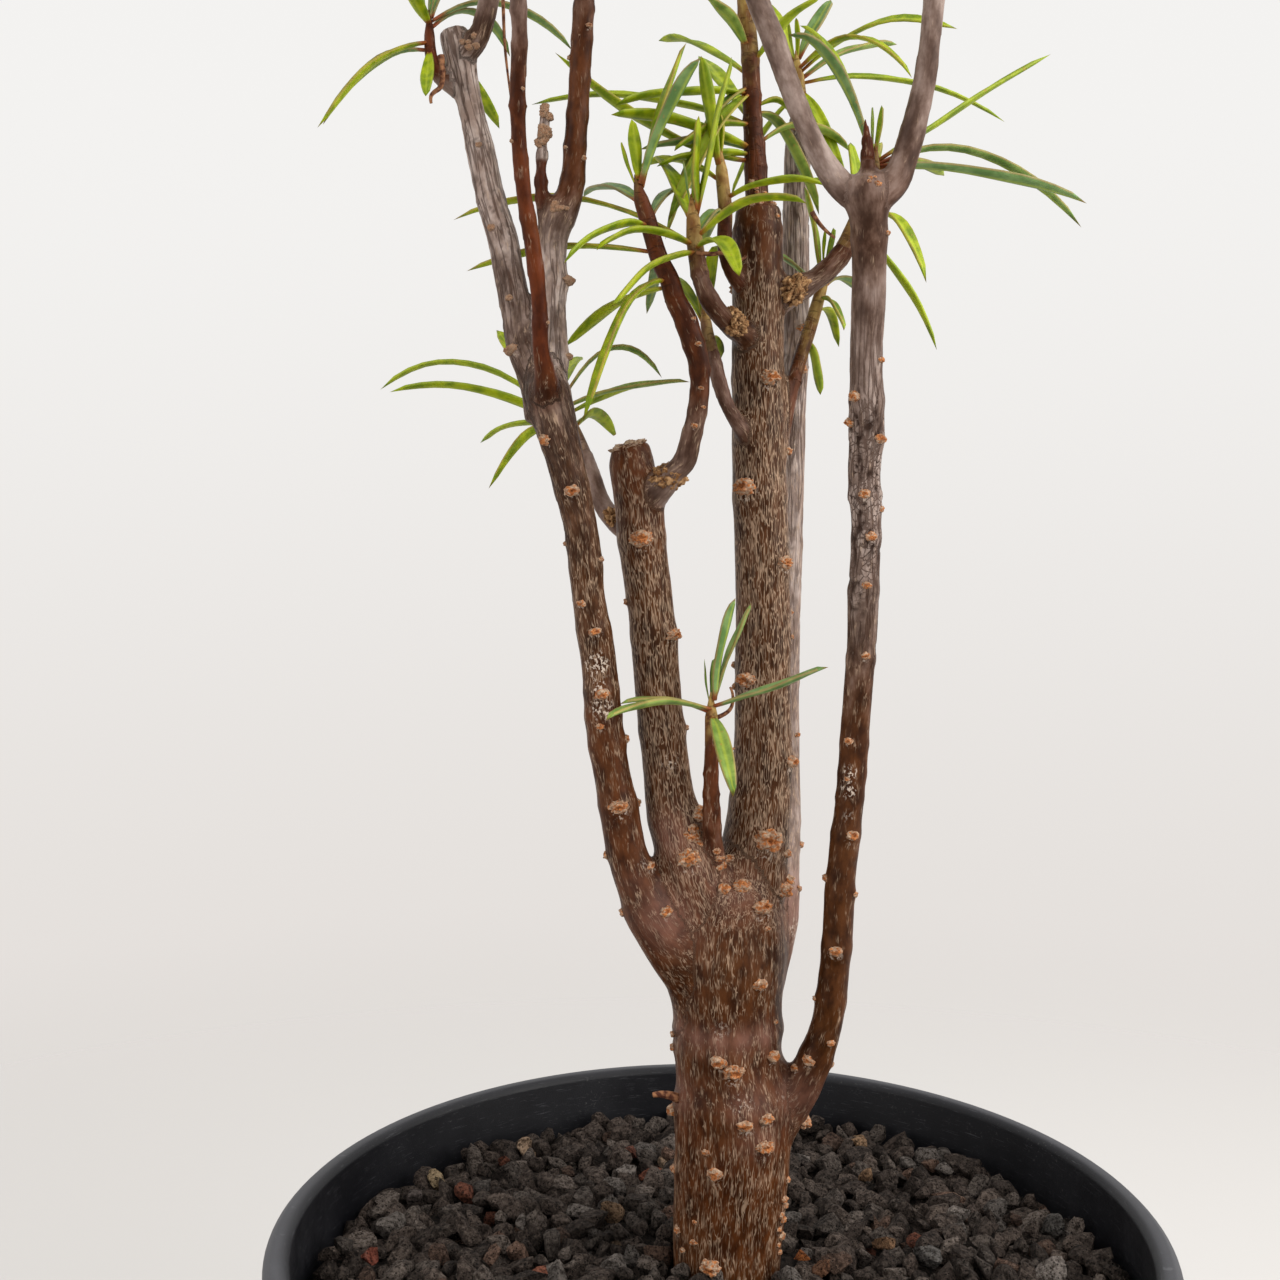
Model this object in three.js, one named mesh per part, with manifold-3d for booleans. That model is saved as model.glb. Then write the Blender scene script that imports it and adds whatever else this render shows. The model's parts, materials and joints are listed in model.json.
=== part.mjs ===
// Potted balsam spurge: a branching succulent shrub in a plain black plastic pot.
//
// Millimetres, +Z up. The origin is on the surface that the pot stands on, in the
// middle of the pot. -Y is the side that the plant is looked at from.
//
// The plant grew as one piece. Its bark-covered wood is one solid, and every leafy
// shoot tip is a solid of its own that stands on the wood with a hairline gap.

import * as THREE from 'three';
import { mergeVertices } from 'three/addons/utils/BufferGeometryUtils.js';
import Module from 'manifold-3d';

const wasm = await Module();
wasm.setup();

// Driving dimensions of the pot
const RIM_RADIUS = 76;
const RIM_INNER_RADIUS = 71.6;
const POT_HEIGHT = 125;
const COLLAR_HEIGHT = 15;
const COLLAR_STEP = 4;
const BASE_RADIUS = 52;
const WALL = 2;
const FOOT_WIDTH = 5;
const FOOT_HEIGHT = 3;
const FLOOR = 3;
const DRAIN_RADIUS = 4.5;
const DRAIN_CIRCLE = 30;
const DRAIN_COUNT = 6;
const DRAIN_SIDES = 12;
const POT_SEGMENTS = 40;
const LIP_HEIGHT = 4;
const LIP_RELIEF = 1.4;
const EDGE_ROUND = 1;
const KNEE = 2;

// What fills the pot
const GAP = 0.3;
const MIX_TOP = 108;
const GRAVEL_BED = 113;
const LUMP_PITCH = 9;
const LUMP_HEIGHT = 3.6;
const LUMP_UNEVEN = 1.4;
const LUMP_SHIFT = 0.7;
const BURIED_SHARE = 0.6;
const BURIED_RINGS = 12;

// Leaves
const LEAF_HALF_WIDTH = 1.25;
const LEAF_THICKNESS = 0.95;
const LEAF_RINGS = 4;
const LEAF_ROOT_START = 0.5;
const LEAF_TAPER = [0.5, 0.85, 1, 0.75];

// A scar's half depth round the stem and along it, for a half width of 1, and how far
// out its middle sits for a stem radius of 1
const SCAR_SHAPE = [1, 0.75, 0.62];
const SCAR_SEAT = 0.97;

// Numbers that place repeats
const GOLDEN_ANGLE = THREE.MathUtils.degToRad(137.508);
const SCATTER_WAVES = [12.9898, 78.233, 37.719];
const SCATTER_SCALE = 43758.5453;
const HALVINGS = 30;

// The stems, thickest first. Each point is [x, y, z, radius] of the stem's axis, and
// each stem but the trunk starts inside the one that it grows from. "leafy" is the
// point, counted from 0, from which the stem is a green shoot with leaves.
const STEMS = {
  trunk: { sides: 14, step: 6, points: [
    [2, 3, 84, 3], [2, 3.5, 92, 6.3], [2, 4, 104, 9], [2, 4, 116, 9.5], [2.6, 4, 129.5, 9.9],
    [3, 4, 138, 10.2], [2.7, 4, 146.5, 9.7], [2, 4, 152, 9.2], [2.1, 4, 158.5, 9.2],
    [1.8, 4, 164, 9.8], [1.8, 4, 170, 10.3], [2, 4, 176, 9.7], [2.5, 4, 182.5, 7.4]] },
  main: { sides: 10, step: 14, points: [
    [4, 5, 173.5, 7.3], [6, 5, 184, 6.2], [7.5, 5, 196, 5.3], [8, 6, 213.5, 4.8],
    [8, 7, 230.5, 4.7], [7.5, 8, 247.5, 4.7], [7, 8, 264.5, 4.5], [7, 9, 281.5, 4.5],
    [7, 10, 293.5, 4.2], [7, 10, 298, 3.6]] },
  left: { sides: 9, step: 10, points: [
    [1.5, 4, 153, 8.4], [0.5, 4, 161, 8.4], [-2.3, 3, 167, 7.4], [-6.9, 1, 172.1, 5.8],
    [-10.8, -1, 177.2, 4.5], [-13.5, -2, 183, 3.7], [-15.5, -3, 189, 3.3],
    [-17, -4, 197.5, 3.2], [-19, -5, 209.5, 3],
    [-20, -6, 221, 2.9], [-21.5, -7, 231, 2.8], [-22.5, -8, 241, 2.7], [-24.5, -9, 250.5, 2.9],
    [-26.5, -10, 258.5, 3.4], [-28, -10, 264.5, 3.8], [-28.3, -10, 268, 2.6]] },
  stump: { sides: 9, step: 11, points: [
    [-1, 2, 174, 6], [-4.5, 0, 183.5, 5.1], [-7.5, 0, 193.5, 4.2], [-9, 0, 204, 3.9],
    [-10, 0, 214, 3.9], [-11.5, 0, 230.5, 3.9], [-13, 0, 241, 4], [-13.5, 0, 247.5, 4.1],
    [-14.5, 0, 252.5, 3.8], [-14.7, 0, 255.5, 3.4], [-14.9, 0, 257, 2.9]] },
  back: { sides: 7, step: 14, points: [
    [6, 4, 156, 2.5], [8, 5.5, 163, 3.8], [9, 7, 169, 4.3], [10.7, 9, 175, 4.1],
    [11.7, 12.5, 181, 3.5], [12.5, 16, 187, 3.1], [13, 19, 194, 2.9], [13, 20, 212, 2.7],
    [13.5, 21, 230, 2.5], [14, 22, 248, 2.5], [14.5, 23, 262.5, 2.4], [15, 24, 284, 2.4],
    [15, 25, 302, 2.3], [15, 25, 311, 2.1], [15.5, 25.5, 317, 1.5]] },
  right: { sides: 8, step: 11, points: [
    [8.5, 5, 137, 5], [11, 4.5, 141.5, 4.4], [14, 2, 146, 3.6], [16.5, 0, 152, 2.9],
    [18.5, -2, 159.5, 2.6], [19.5, -4, 170.5, 2.5], [20, -7, 186.5, 2.4], [21, -9, 198.5, 2.3],
    [21.5, -11, 212, 2.3], [22, -13, 223.5, 2.3], [22, -15, 233, 2.4], [22, -17, 242.5, 2.3],
    [21.5, -18, 251.5, 2.5], [21.5, -20, 259, 2.6], [21, -22, 269.5, 2.5], [21, -24, 279.5, 2.5],
    [20.5, -26, 288, 2.8], [20, -27, 291.5, 3.6], [20, -27, 294, 2.4]] },
  right_arm_left: { sides: 6, step: 8, leafy: 8, points: [
    [19.5, -27, 290.5, 2.3], [16.5, -27, 292.5, 2], [13.5, -28, 296, 1.7],
    [10.5, -29, 301.5, 1.55], [8, -30, 307, 1.55], [6, -31, 312, 1.6], [3.5, -32, 317.5, 1.65],
    [1.5, -33, 323, 1.65], [0, -34, 329, 1.6], [-1.5, -35, 338, 1.4], [-2.5, -35, 347, 1]] },
  right_arm_right: { sides: 6, step: 8, leafy: 8, points: [
    [21, -27, 290.5, 2.5], [24, -27, 293, 2.2], [25.5, -27, 296.5, 1.9], [27, -28, 302, 1.7],
    [28, -29, 307, 1.6], [28.5, -30, 312.5, 1.5], [29, -30, 318, 1.5], [29.5, -30, 325, 1.5],
    [30, -30, 332, 1.5], [31, -30, 341, 1.3], [32, -30, 350, 1]] },
  fork_shoot: { sides: 5, step: 3, leafy: 1, points: [
    [20.6, -26, 290, 1.4], [21.3, -24.2, 294.6, 1.2], [21.7, -23.6, 297.2, 0.9],
    [21.9, -23.4, 299.8, 0.7]] },
  fork_bud: { sides: 5, step: 4, points: [
    [20.3, -27, 291, 1.2], [20.2, -27, 296, 1], [20, -27, 299.5, 1], [19.8, -27, 302.5, 0.5]] },
  far_left: { sides: 8, step: 11, points: [
    [-28.5, -9, 260, 3.2], [-29.5, -8, 265, 2.9], [-31, -7, 269, 2.6], [-32.5, -6, 273, 2.5],
    [-33.5, -5, 279.5, 2.5], [-34.5, -4, 284.5, 2.5], [-35.5, -3, 289.5, 2.5],
    [-37.5, -2, 296, 2.4], [-39, -1, 303, 2.3], [-40.5, 0, 309.5, 2.1], [-42, 1, 316, 2.3],
    [-43, 1, 321, 2.6], [-44, 1, 324.5, 2.4]] },
  far_left_side: { sides: 6, step: 7, leafy: 5, points: [
    [-42.8, 0.5, 319, 1.6], [-40, -1, 321.5, 1.8], [-38.5, -2, 324.5, 1.7],
    [-37.5, -3, 328, 1.6], [-37, -4, 332, 1.6], [-37, -4.5, 336, 1.5], [-37.5, -5, 344, 1.3],
    [-38, -5, 352, 0.9]] },
  far_left_shoot: { sides: 5, step: 4, leafy: 1, points: [
    [-42.6, 0.8, 314, 1.4], [-46.2, 0, 316.6, 1.2], [-47.3, -0.2, 319.6, 1],
    [-47.6, -0.2, 327, 0.7]] },
  left_centre: { sides: 7, step: 9, leafy: 13, points: [
    [-28, -9, 264, 3.2], [-27.5, -8, 269.5, 2.7], [-27.5, -7, 276, 2.5], [-27.5, -6, 282.5, 2.5],
    [-27.5, -5, 289, 2.6], [-26.5, -5, 292.5, 2.7], [-25, -5, 295, 2.3], [-24, -5, 298.5, 1.9],
    [-23.5, -6, 304.5, 1.8], [-23, -6, 311, 1.7], [-22.5, -7, 318.5, 1.7], [-22, -8, 326, 1.6],
    [-21.5, -8.5, 332, 1.6], [-21, -9, 338, 1.5], [-20.5, -9, 346, 1.3], [-20, -9, 355, 0.9]] },
  front_left: { sides: 6, step: 10, leafy: 11, points: [
    [-28, -11, 263, 2.8], [-28, -15.5, 267, 1.5], [-28.5, -18, 270.5, 1.15],
    [-28.5, -20, 277, 1.1], [-29.5, -22, 286, 1.1], [-30.5, -24, 292.5, 1.1],
    [-31, -26, 299.5, 1.1], [-31, -28, 306, 1.15], [-30.5, -30, 312.5, 1.15],
    [-30.5, -32, 317.5, 1.15], [-30.5, -33, 324, 1.2], [-30, -34, 330, 1.2],
    [-29.5, -35, 339, 1.1], [-29, -35, 348, 0.9]] },
  dead_spur: { sides: 5, step: 6, points: [
    [-28, -5, 290, 1.1], [-29, -6, 296, 0.95], [-29, -6.3, 301, 0.85], [-28.6, -6.6, 306, 0.75],
    [-28, -7, 310, 0.5]] },
  hidden_left: { sides: 5, step: 7, leafy: 4, points: [
    [-12.5, 2, 239.5, 1.9], [-18, 7, 244.5, 1.7], [-20, 9, 247.5, 1.6], [-21.5, 11, 251.5, 1.6],
    [-23, 13, 255.5, 1.4], [-25, 15, 260, 1.3], [-27, 16, 263.5, 1.2], [-28.5, 16, 268, 1]] },
  stump_shoot: { sides: 6, step: 6, leafy: 9, points: [
    [-12, -1, 247, 2.6], [-8.5, -4, 251, 2.2], [-6, -5, 253.5, 2], [-5, -6, 257, 1.7],
    [-4, -6, 261, 1.6], [-3.5, -6, 266.5, 1.6], [-4, -7, 270.5, 1.7], [-5, -7, 273.5, 1.8],
    [-6, -7, 276.5, 1.8], [-7.5, -7, 279.3, 1.7], [-8.5, -7, 282.5, 1.6], [-10, -7, 285.5, 1.5],
    [-11, -7, 288.5, 1.4], [-12, -7, 292, 1.4], [-13, -7, 295, 1.2], [-14, -7, 299, 0.9]] },
  centre_left: { sides: 5, step: 4, leafy: 4, points: [
    [5.5, 6.5, 274.5, 2.4], [2.5, 1.5, 276, 2.3], [0, -4, 277.2, 1.6], [-2, -6, 279.5, 1.4],
    [-3.4, -7, 282.5, 1.4], [-4, -7, 285.5, 1.4], [-4.5, -7, 289, 1.3], [-4.7, -7, 292, 1.1],
    [-5, -7, 296, 0.8]] },
  centre_low: { sides: 5, step: 5, leafy: 3, points: [
    [5, 5, 258, 1.5], [1.5, 1.5, 263, 1.2], [0, 1, 267, 1.2], [-1, 2, 271.5, 1.1],
    [-2, 3, 276, 1], [-2.5, 4, 281, 0.8]] },
  centre_back: { sides: 5, step: 5, leafy: 2, points: [
    [5, 7, 282.5, 1.6], [2, 5, 286.5, 1.3], [1, 4, 290.5, 1.3], [1, 3, 295.5, 1.2],
    [0.5, 3, 300.5, 1.1], [0, 3, 306, 0.8]] },
  main_tip: { sides: 6, step: 8, leafy: 1, points: [
    [7, 10, 295, 2.2], [6.7, 10, 301, 2], [6.5, 10, 305.5, 1.9], [6, 10, 312, 1.6],
    [5.5, 9, 322, 1.5], [4.5, 8, 331.5, 1.4], [4, 8, 342, 1.2], [3.5, 8, 352, 0.9]] },
  back_side: { sides: 5, step: 5, leafy: 2, points: [
    [15, 25, 305, 1.5], [16.2, 22.5, 308.5, 1.3], [16, 21.5, 313, 1.2], [15.3, 20, 318, 1.1],
    [14.5, 18, 322.5, 1], [14, 17, 326, 0.8]] },
  right_side: { sides: 6, step: 5, leafy: 4, points: [
    [9, 9, 281, 2.8], [13.5, 9, 283.5, 2.4], [16.5, 9, 285, 1.8], [19.5, 9, 287.5, 1.8],
    [21.7, 9, 290.3, 1.7], [23, 9, 293, 1.6], [24, 8.5, 296, 1.3], [24.8, 8, 299, 0.9]] },
  right_low: { sides: 5, step: 5, leafy: 3, points: [
    [8.5, 8.5, 251, 1.6], [11, 9, 257.5, 1.3], [12, 9.7, 263, 1.3], [13.3, 10.5, 268, 1.3],
    [14.5, 11.5, 272, 1.2], [16, 12.5, 276.5, 1.2], [17.4, 13.3, 281, 1.1],
    [18.5, 13.8, 285, 1], [19.2, 14, 289.5, 0.8]] },
  crotch_shoot: { sides: 5, step: 8, leafy: 3, points: [
    [0, 1, 184, 2], [-1, -3.5, 191, 1.4], [-1.5, -6, 199.5, 1.2], [-1.5, -7, 207, 1.1],
    [-1.5, -7, 211.5, 1.1], [-1.6, -7, 216, 0.8]] },
};

// Corky scars of fallen leaves and shoots: [height, angle, half width]. The angle is
// measured round the stem from the front, with + to the right.
const SCARS = {
  trunk: [
    [118, -20, 1.7], [122.5, 62, 1.2], [125.5, 15, 1.2], [134.5, -20, 1.5], [139, 25, 1.7],
    [140, 85, 1.6], [142, -88, 1.6], [143.5, 20, 1.8], [152, 0, 1.8], [153.5, 50, 1.5],
    [154, -88, 1.2], [166.5, 30, 1.5], [179, 35, 2], [126, 195, 1.5], [141, 135, 1.6],
    [144, 235, 1.5], [153, 170, 1.7], [165, 205, 1.6]],
  main: [
    [190, 15, 2.4], [203, 60, 1.7], [216.5, -40, 1.9], [236.5, 45, 1.9], [249.5, -35, 2.2],
    [255.5, 88, 1.2], [268, 20, 2], [208, 170, 1.8], [228, 130, 1.8], [246, 205, 1.8],
    [266, 150, 1.8], [284, 225, 1.6]],
  left: [
    [178, -88, 1.2], [186.5, 65, 1.2], [197, 5, 1.8], [215.5, 5, 1.6], [226, 5, 1.3],
    [248.5, 0, 1.4], [256.5, -40, 1.3], [205, 190, 1.3], [236, 165, 1.3]],
  stump: [
    [188, 10, 2], [194.5, 75, 2], [225, 55, 1.7], [241, 0, 2], [208, 190, 1.6],
    [232, 160, 1.6]],
  back: [[275, 20, 1.4], [212, 190, 1.2], [244, 170, 1.2]],
  right: [
    [153, -30, 1.2], [173, -10, 1.3], [193, 15, 1.1], [233.5, 0, 1.1], [256, 35, 1.1],
    [258.5, -80, 1.3], [181, 190, 1.1], [222, 170, 1.1]],
  far_left: [[271, -45, 1.4], [296, 170, 1.1]],
  left_centre: [[282, 70, 1.4]],
};

// Leaves that show from the front: [place along the shoot from 0 to 1, tip x, y, z,
// height of the arch over the straight line from root to tip].
const LEAVES = {
  stump_shoot: [
    [0.1, -26, 6, 273.5, 2], [0.15, -22, -17, 259, 6], [0.4, -42.5, 7, 286.5, 2],
    [0.6, -25, -22, 282.5, 2], [0.8, -23, 16, 301, 2], [0.9, -6, -1, 321.5, 1],
    [0.92, -4, -16, 314.5, 2], [0.96, -14.5, -9.5, 307, 0], [0.65, -4, 14, 302, 2],
    [0.3, -12, 18, 281, 3]],
  centre_left: [
    [0.45, -45, 9, 295.5, 5], [0.4, -20, -20, 285, 2.5], [0.3, -17.5, -24, 275.5, 2],
    [0.5, 13, -13, 293.5, 2.5], [0.8, -4, -7.5, 308, 0], [0.75, 1.5, -5, 318, 1],
    [0.35, 1.5, -27, 279.5, 3], [0.7, -10.5, 9, 306, 1]],
  centre_low: [
    [0.5, -4, 9, 290, 0.5], [0.3, 1, 11, 272.5, 1], [0.7, 0, 13, 292, 1],
    [0.6, -10, 18, 288.5, 1.5]],
  centre_back: [
    [0.45, 17, -5, 298, 1.5], [0.8, -3, 1, 320, 1], [0.3, -2, 22, 293.5, 2],
    [0.65, -13.5, 16, 306, 2], [0.25, -4.5, -4, 289, 2.5]],
  main_tip: [
    [0.08, -27, 3, 321.5, -3.5], [0.2, -32, 15, 316.5, 3], [0.12, -18, -6, 309, 1.5],
    [0.3, -17.5, -2, 311.5, 1], [0.32, -9, 2, 290.5, 5], [0.24, 19, 20, 298.5, 5],
    [0.22, -2.5, 28, 328.5, 1], [0.4, 16.5, 2, 330, 1], [0.45, -2.5, -1, 329, 1],
    [0.14, 24, 18, 309, 3.5], [0.36, -9.5, 30, 332, 2]],
  back_side: [
    [0.75, 40.5, 9, 327, 4.5], [0.6, 52.5, 24, 316, 3.5], [0.65, 34, 31, 331.5, 2],
    [0.8, 32, 2, 317, 5.5], [0.5, 23.5, 16, 298.5, 3], [0.45, 3, 27, 303, 2.5],
    [0.85, 8, 21, 336, 2], [0.9, 21, 24, 337, 1]],
  fork_shoot: [
    [0.4, 55, -16, 289, 6], [0.3, 54, -22, 291.5, 1.5], [0.5, 50.5, -12, 316.5, 0],
    [0.6, 8.5, -26, 314.5, 5], [0.7, 11.5, -16, 319.5, 3.5], [0.25, 36, -4, 299.5, 1.5],
    [0.45, 26, 4, 303, 3]],
  right_side: [
    [0.5, 34, -2, 283, 5.5], [0.35, 39, 14, 274, 3], [0.6, 15.5, 13, 302.5, 2],
    [0.7, 34, 22, 308.5, 2], [0.4, 30, 25, 279, 4], [0.9, 23.5, 15, 310, 0]],
  right_low: [
    [0.7, 22, 8, 276.5, 1.5], [0.9, 16, 17, 302.5, 1], [0.75, 10, 21, 292.5, 1],
    [0.35, 18.5, 13, 266, 1], [0.8, 28.5, 26, 284.5, 2.5], [0.6, 23, 25, 276, 3]],
  hidden_left: [
    [0.5, -60, 21, 268, 7], [0.45, -55.5, 4, 266, 3], [0.3, -42.5, 26, 258.5, 3],
    [0.35, -39, 6, 249.5, 4], [0.7, -4.5, 12, 268.5, 1], [0.6, -9, 28, 270, 1],
    [0.8, -9, 21, 270, 7], [0.4, -18, 31, 260.5, 3], [0.85, -24, 33, 275, 1.5],
    [0.6, -40, 33, 280, 2], [0.95, -28, 25, 284, 0.5]],
  crotch_shoot: [
    [0.7, -18.5, -31, 214.5, 1.5], [0.65, -16.5, -9, 214.5, 1.2], [0.75, 16.5, -14, 221, -0.5],
    [0.55, 1.5, -20, 201, 2], [0.85, 2, -9.5, 231.5, 1], [0.9, 5, -6, 230.5, 1]],
  far_left_shoot: [
    [0.5, -64, -10, 305.5, 3], [0.4, -67, 8, 311, 3.5], [0.8, -50, -12, 328, 0],
    [0.9, -45.5, 6, 336, 0], [0.35, -47, -9, 311, 0], [0.85, -24.5, 12, 324.5, 5],
    [0.75, -35.5, 15, 324.5, 4.5], [0.3, -38, 21, 314, 2]],
};

// Crowns at the ends of the tall stems, with leaves in a spiral: [first height along
// the shoot, number of leaves, longest leaf, direction of the first leaf in degrees].
const CROWNS = {
  right_arm_left: [0.25, 10, 31, 200],
  right_arm_right: [0.25, 10, 31, 20],
  far_left_side: [0.25, 10, 31, 110],
  left_centre: [0.25, 10, 31, 78],
  front_left: [0.25, 10, 31, 250],
  main_tip: [0.66, 9, 30, 110],
};
const CROWN_LIFT = [22, 66];
const CROWN_SHORTEST = 0.6;
const CROWN_ARCH = 3;
const CROWN_LAST = 0.97;

// Greens of the small young shoots and of the ones that end in a crown
const SHOOT_COLOUR = { young: 0x7d8f3a, grown: 0x6f9a1e };

const up = new THREE.Vector3(0, 0, 1);

function solidOf(geometry) {
  const bare = geometry.clone();
  bare.deleteAttribute('normal');
  bare.deleteAttribute('uv');
  const merged = mergeVertices(bare, 1e-4);
  const mesh = new wasm.Mesh({
    numProp: 3,
    vertProperties: new Float32Array(merged.attributes.position.array),
    triVerts: new Uint32Array(merged.index.array),
  });
  return new wasm.Manifold(mesh);
}

function geometryOf(solid) {
  const mesh = solid.getMesh();
  const geometry = new THREE.BufferGeometry();
  geometry.setAttribute('position', new THREE.BufferAttribute(mesh.vertProperties, 3));
  geometry.setIndex(new THREE.BufferAttribute(mesh.triVerts, 1));
  geometry.computeVertexNormals();
  return geometry;
}

function joined(solids) {
  return solids.reduce((whole, piece) => whole.add(piece));
}

// A turned shape about the Z axis from a closed profile of [radius, height]
function turned(profile, segments) {
  const outline = profile.map(([radius, height]) => new THREE.Vector2(radius, height));
  const geometry = new THREE.LatheGeometry(outline, segments);
  geometry.rotateX(Math.PI / 2);
  return solidOf(geometry);
}

function disc(radius, bottom, top, segments) {
  return turned([[0, bottom], [radius, bottom], [radius, top], [0, top]], segments);
}

// The axis of a stem, with its radius at any place u from 0 to 1 along its length
function stemAxis(points) {
  const curve = new THREE.CatmullRomCurve3(
    points.map(([x, y, z]) => new THREE.Vector3(x, y, z)), false, 'centripetal');
  const radiusAt = (u) => {
    const place = curve.getUtoTmapping(u) * (points.length - 1);
    const before = Math.min(Math.floor(place), points.length - 2);
    return THREE.MathUtils.lerp(points[before][3], points[before + 1][3], place - before);
  };
  return { curve, radiusAt, length: curve.getLength() };
}

// The place from 0 to 1 up to which a test holds
function lastPlace(holds) {
  let low = 0;
  let high = 1;
  for (let i = 0; i < HALVINGS; i += 1) {
    const middle = (low + high) / 2;
    if (holds(middle)) low = middle;
    else high = middle;
  }
  return low;
}

// The place along the axis, from 0 to 1, of one of the points that it was drawn through
function placeOfPoint(axis, points, index) {
  const target = index / (points.length - 1);
  return lastPlace((u) => axis.curve.getUtoTmapping(u) < target);
}

// A closed round rod that follows the axis from place "from" to place "to"
function rod(axis, from, to, sides, rings, grow = 0) {
  const geometry = new THREE.CylinderGeometry(1, 1, 1, sides, rings);
  const position = geometry.attributes.position;
  const frames = [];
  let side = new THREE.Vector3(1, 0, 0);
  for (let ring = 0; ring <= rings; ring += 1) {
    const u = from + (to - from) * ring / rings;
    const along = axis.curve.getTangentAt(u);
    side = side.clone().addScaledVector(along, -side.dot(along)).normalize();
    frames.push({
      centre: axis.curve.getPointAt(u),
      side,
      across: side.clone().cross(along),
      radius: axis.radiusAt(u) + grow,
    });
  }
  const vertex = new THREE.Vector3();
  for (let i = 0; i < position.count; i += 1) {
    vertex.fromBufferAttribute(position, i);
    const frame = frames[Math.round((vertex.y + 0.5) * rings)];
    const place = frame.centre.clone()
      .addScaledVector(frame.side, vertex.x * frame.radius)
      .addScaledVector(frame.across, vertex.z * frame.radius);
    position.setXYZ(i, place.x, place.y, place.z);
  }
  return solidOf(geometry);
}

// One leaf: a narrow pointed blade, flat above and keeled below, that arches over the
// straight line from its root to its tip. "axis" is the direction of the shoot.
function leaf(root, tip, arch, axis) {
  const geometry = new THREE.ConeGeometry(1, 1, 3, LEAF_RINGS);
  geometry.rotateY(Math.PI);
  const position = geometry.attributes.position;
  const start = root.clone().lerp(tip, LEAF_ROOT_START / root.distanceTo(tip));
  const straight = tip.clone().sub(start);
  const wide = straight.clone().cross(axis).normalize();
  const centreAt = (t) => start.clone().addScaledVector(straight, t)
    .addScaledVector(up, 4 * arch * t * (1 - t));
  const vertex = new THREE.Vector3();
  for (let i = 0; i < position.count; i += 1) {
    vertex.fromBufferAttribute(position, i);
    const ring = Math.round((vertex.y + 0.5) * LEAF_RINGS);
    const t = ring / LEAF_RINGS;
    const along = straight.clone().addScaledVector(up, 4 * arch * (1 - 2 * t)).normalize();
    const thick = wide.clone().cross(along).normalize();
    const reach = Math.hypot(vertex.x, vertex.z);
    const place = centreAt(t);
    if (ring < LEAF_RINGS && reach > 1e-6) {
      const edge = vertex.x / reach / Math.sin(Math.PI / 3);
      place.addScaledVector(wide, edge * LEAF_HALF_WIDTH * LEAF_TAPER[ring]);
      place.addScaledVector(thick, (vertex.z / reach) * LEAF_THICKNESS / 1.5);
    }
    position.setXYZ(i, place.x, place.y, place.z);
  }
  return solidOf(geometry);
}

// Where a stem stops being wood, from 0 to 1 along it
function woodEnd(stem, axis) {
  return stem.leafy === undefined ? 1 : placeOfPoint(axis, stem.points, stem.leafy);
}

function woodySolid(stem) {
  const axis = stemAxis(stem.points);
  const end = woodEnd(stem, axis);
  const rings = Math.max(2, Math.round(axis.length * end / stem.step));
  return rod(axis, 0, end, stem.sides, rings);
}

// A flattened knob on the bark, half sunk into it
function scar(stem, [height, angle, halfWidth]) {
  const axis = stemAxis(stem.points);
  const u = lastPlace((place) => axis.curve.getPointAt(place).z < height);
  const turn = THREE.MathUtils.degToRad(angle);
  const outward = new THREE.Vector3(Math.sin(turn), -Math.cos(turn), 0);
  const centre = axis.curve.getPointAt(u);
  centre.addScaledVector(outward, axis.radiusAt(u) * SCAR_SEAT);
  const geometry = new THREE.OctahedronGeometry(halfWidth);
  geometry.scale(...SCAR_SHAPE);
  geometry.rotateZ(turn);
  geometry.translate(centre.x, centre.y, centre.z);
  return solidOf(geometry);
}

function spiralLeaves(axis, from, [first, count, longest, direction]) {
  const leaves = [];
  for (let i = 0; i < count; i += 1) {
    const share = i / (count - 1);
    const u = from + (1 - from) * THREE.MathUtils.lerp(first, CROWN_LAST, share);
    const root = axis.curve.getPointAt(u);
    const turn = THREE.MathUtils.degToRad(direction) + i * GOLDEN_ANGLE;
    const lift = THREE.MathUtils.degToRad(THREE.MathUtils.lerp(...CROWN_LIFT, share));
    const length = longest * THREE.MathUtils.lerp(1, CROWN_SHORTEST, share);
    const reach = length * Math.cos(lift);
    const tip = new THREE.Vector3(
      root.x + reach * Math.cos(turn), root.y + reach * Math.sin(turn),
      root.z + length * Math.sin(lift));
    leaves.push(leaf(root, tip, CROWN_ARCH * (1 - share), axis.curve.getTangentAt(u)));
  }
  return leaves;
}

function shootSolid(name) {
  const stem = STEMS[name];
  const axis = stemAxis(stem.points);
  const from = woodEnd(stem, axis) + GAP / axis.length;
  const rings = Math.max(2, Math.round(axis.length * (1 - from) / stem.step));
  const solids = [rod(axis, from, 1, stem.sides, rings)];
  for (const [place, x, y, z, arch] of LEAVES[name] ?? []) {
    const u = from + (1 - from) * place;
    const root = axis.curve.getPointAt(u);
    solids.push(leaf(root, new THREE.Vector3(x, y, z), arch, axis.curve.getTangentAt(u)));
  }
  if (CROWNS[name]) solids.push(...spiralLeaves(axis, from, CROWNS[name]));
  return joined(solids);
}

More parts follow.
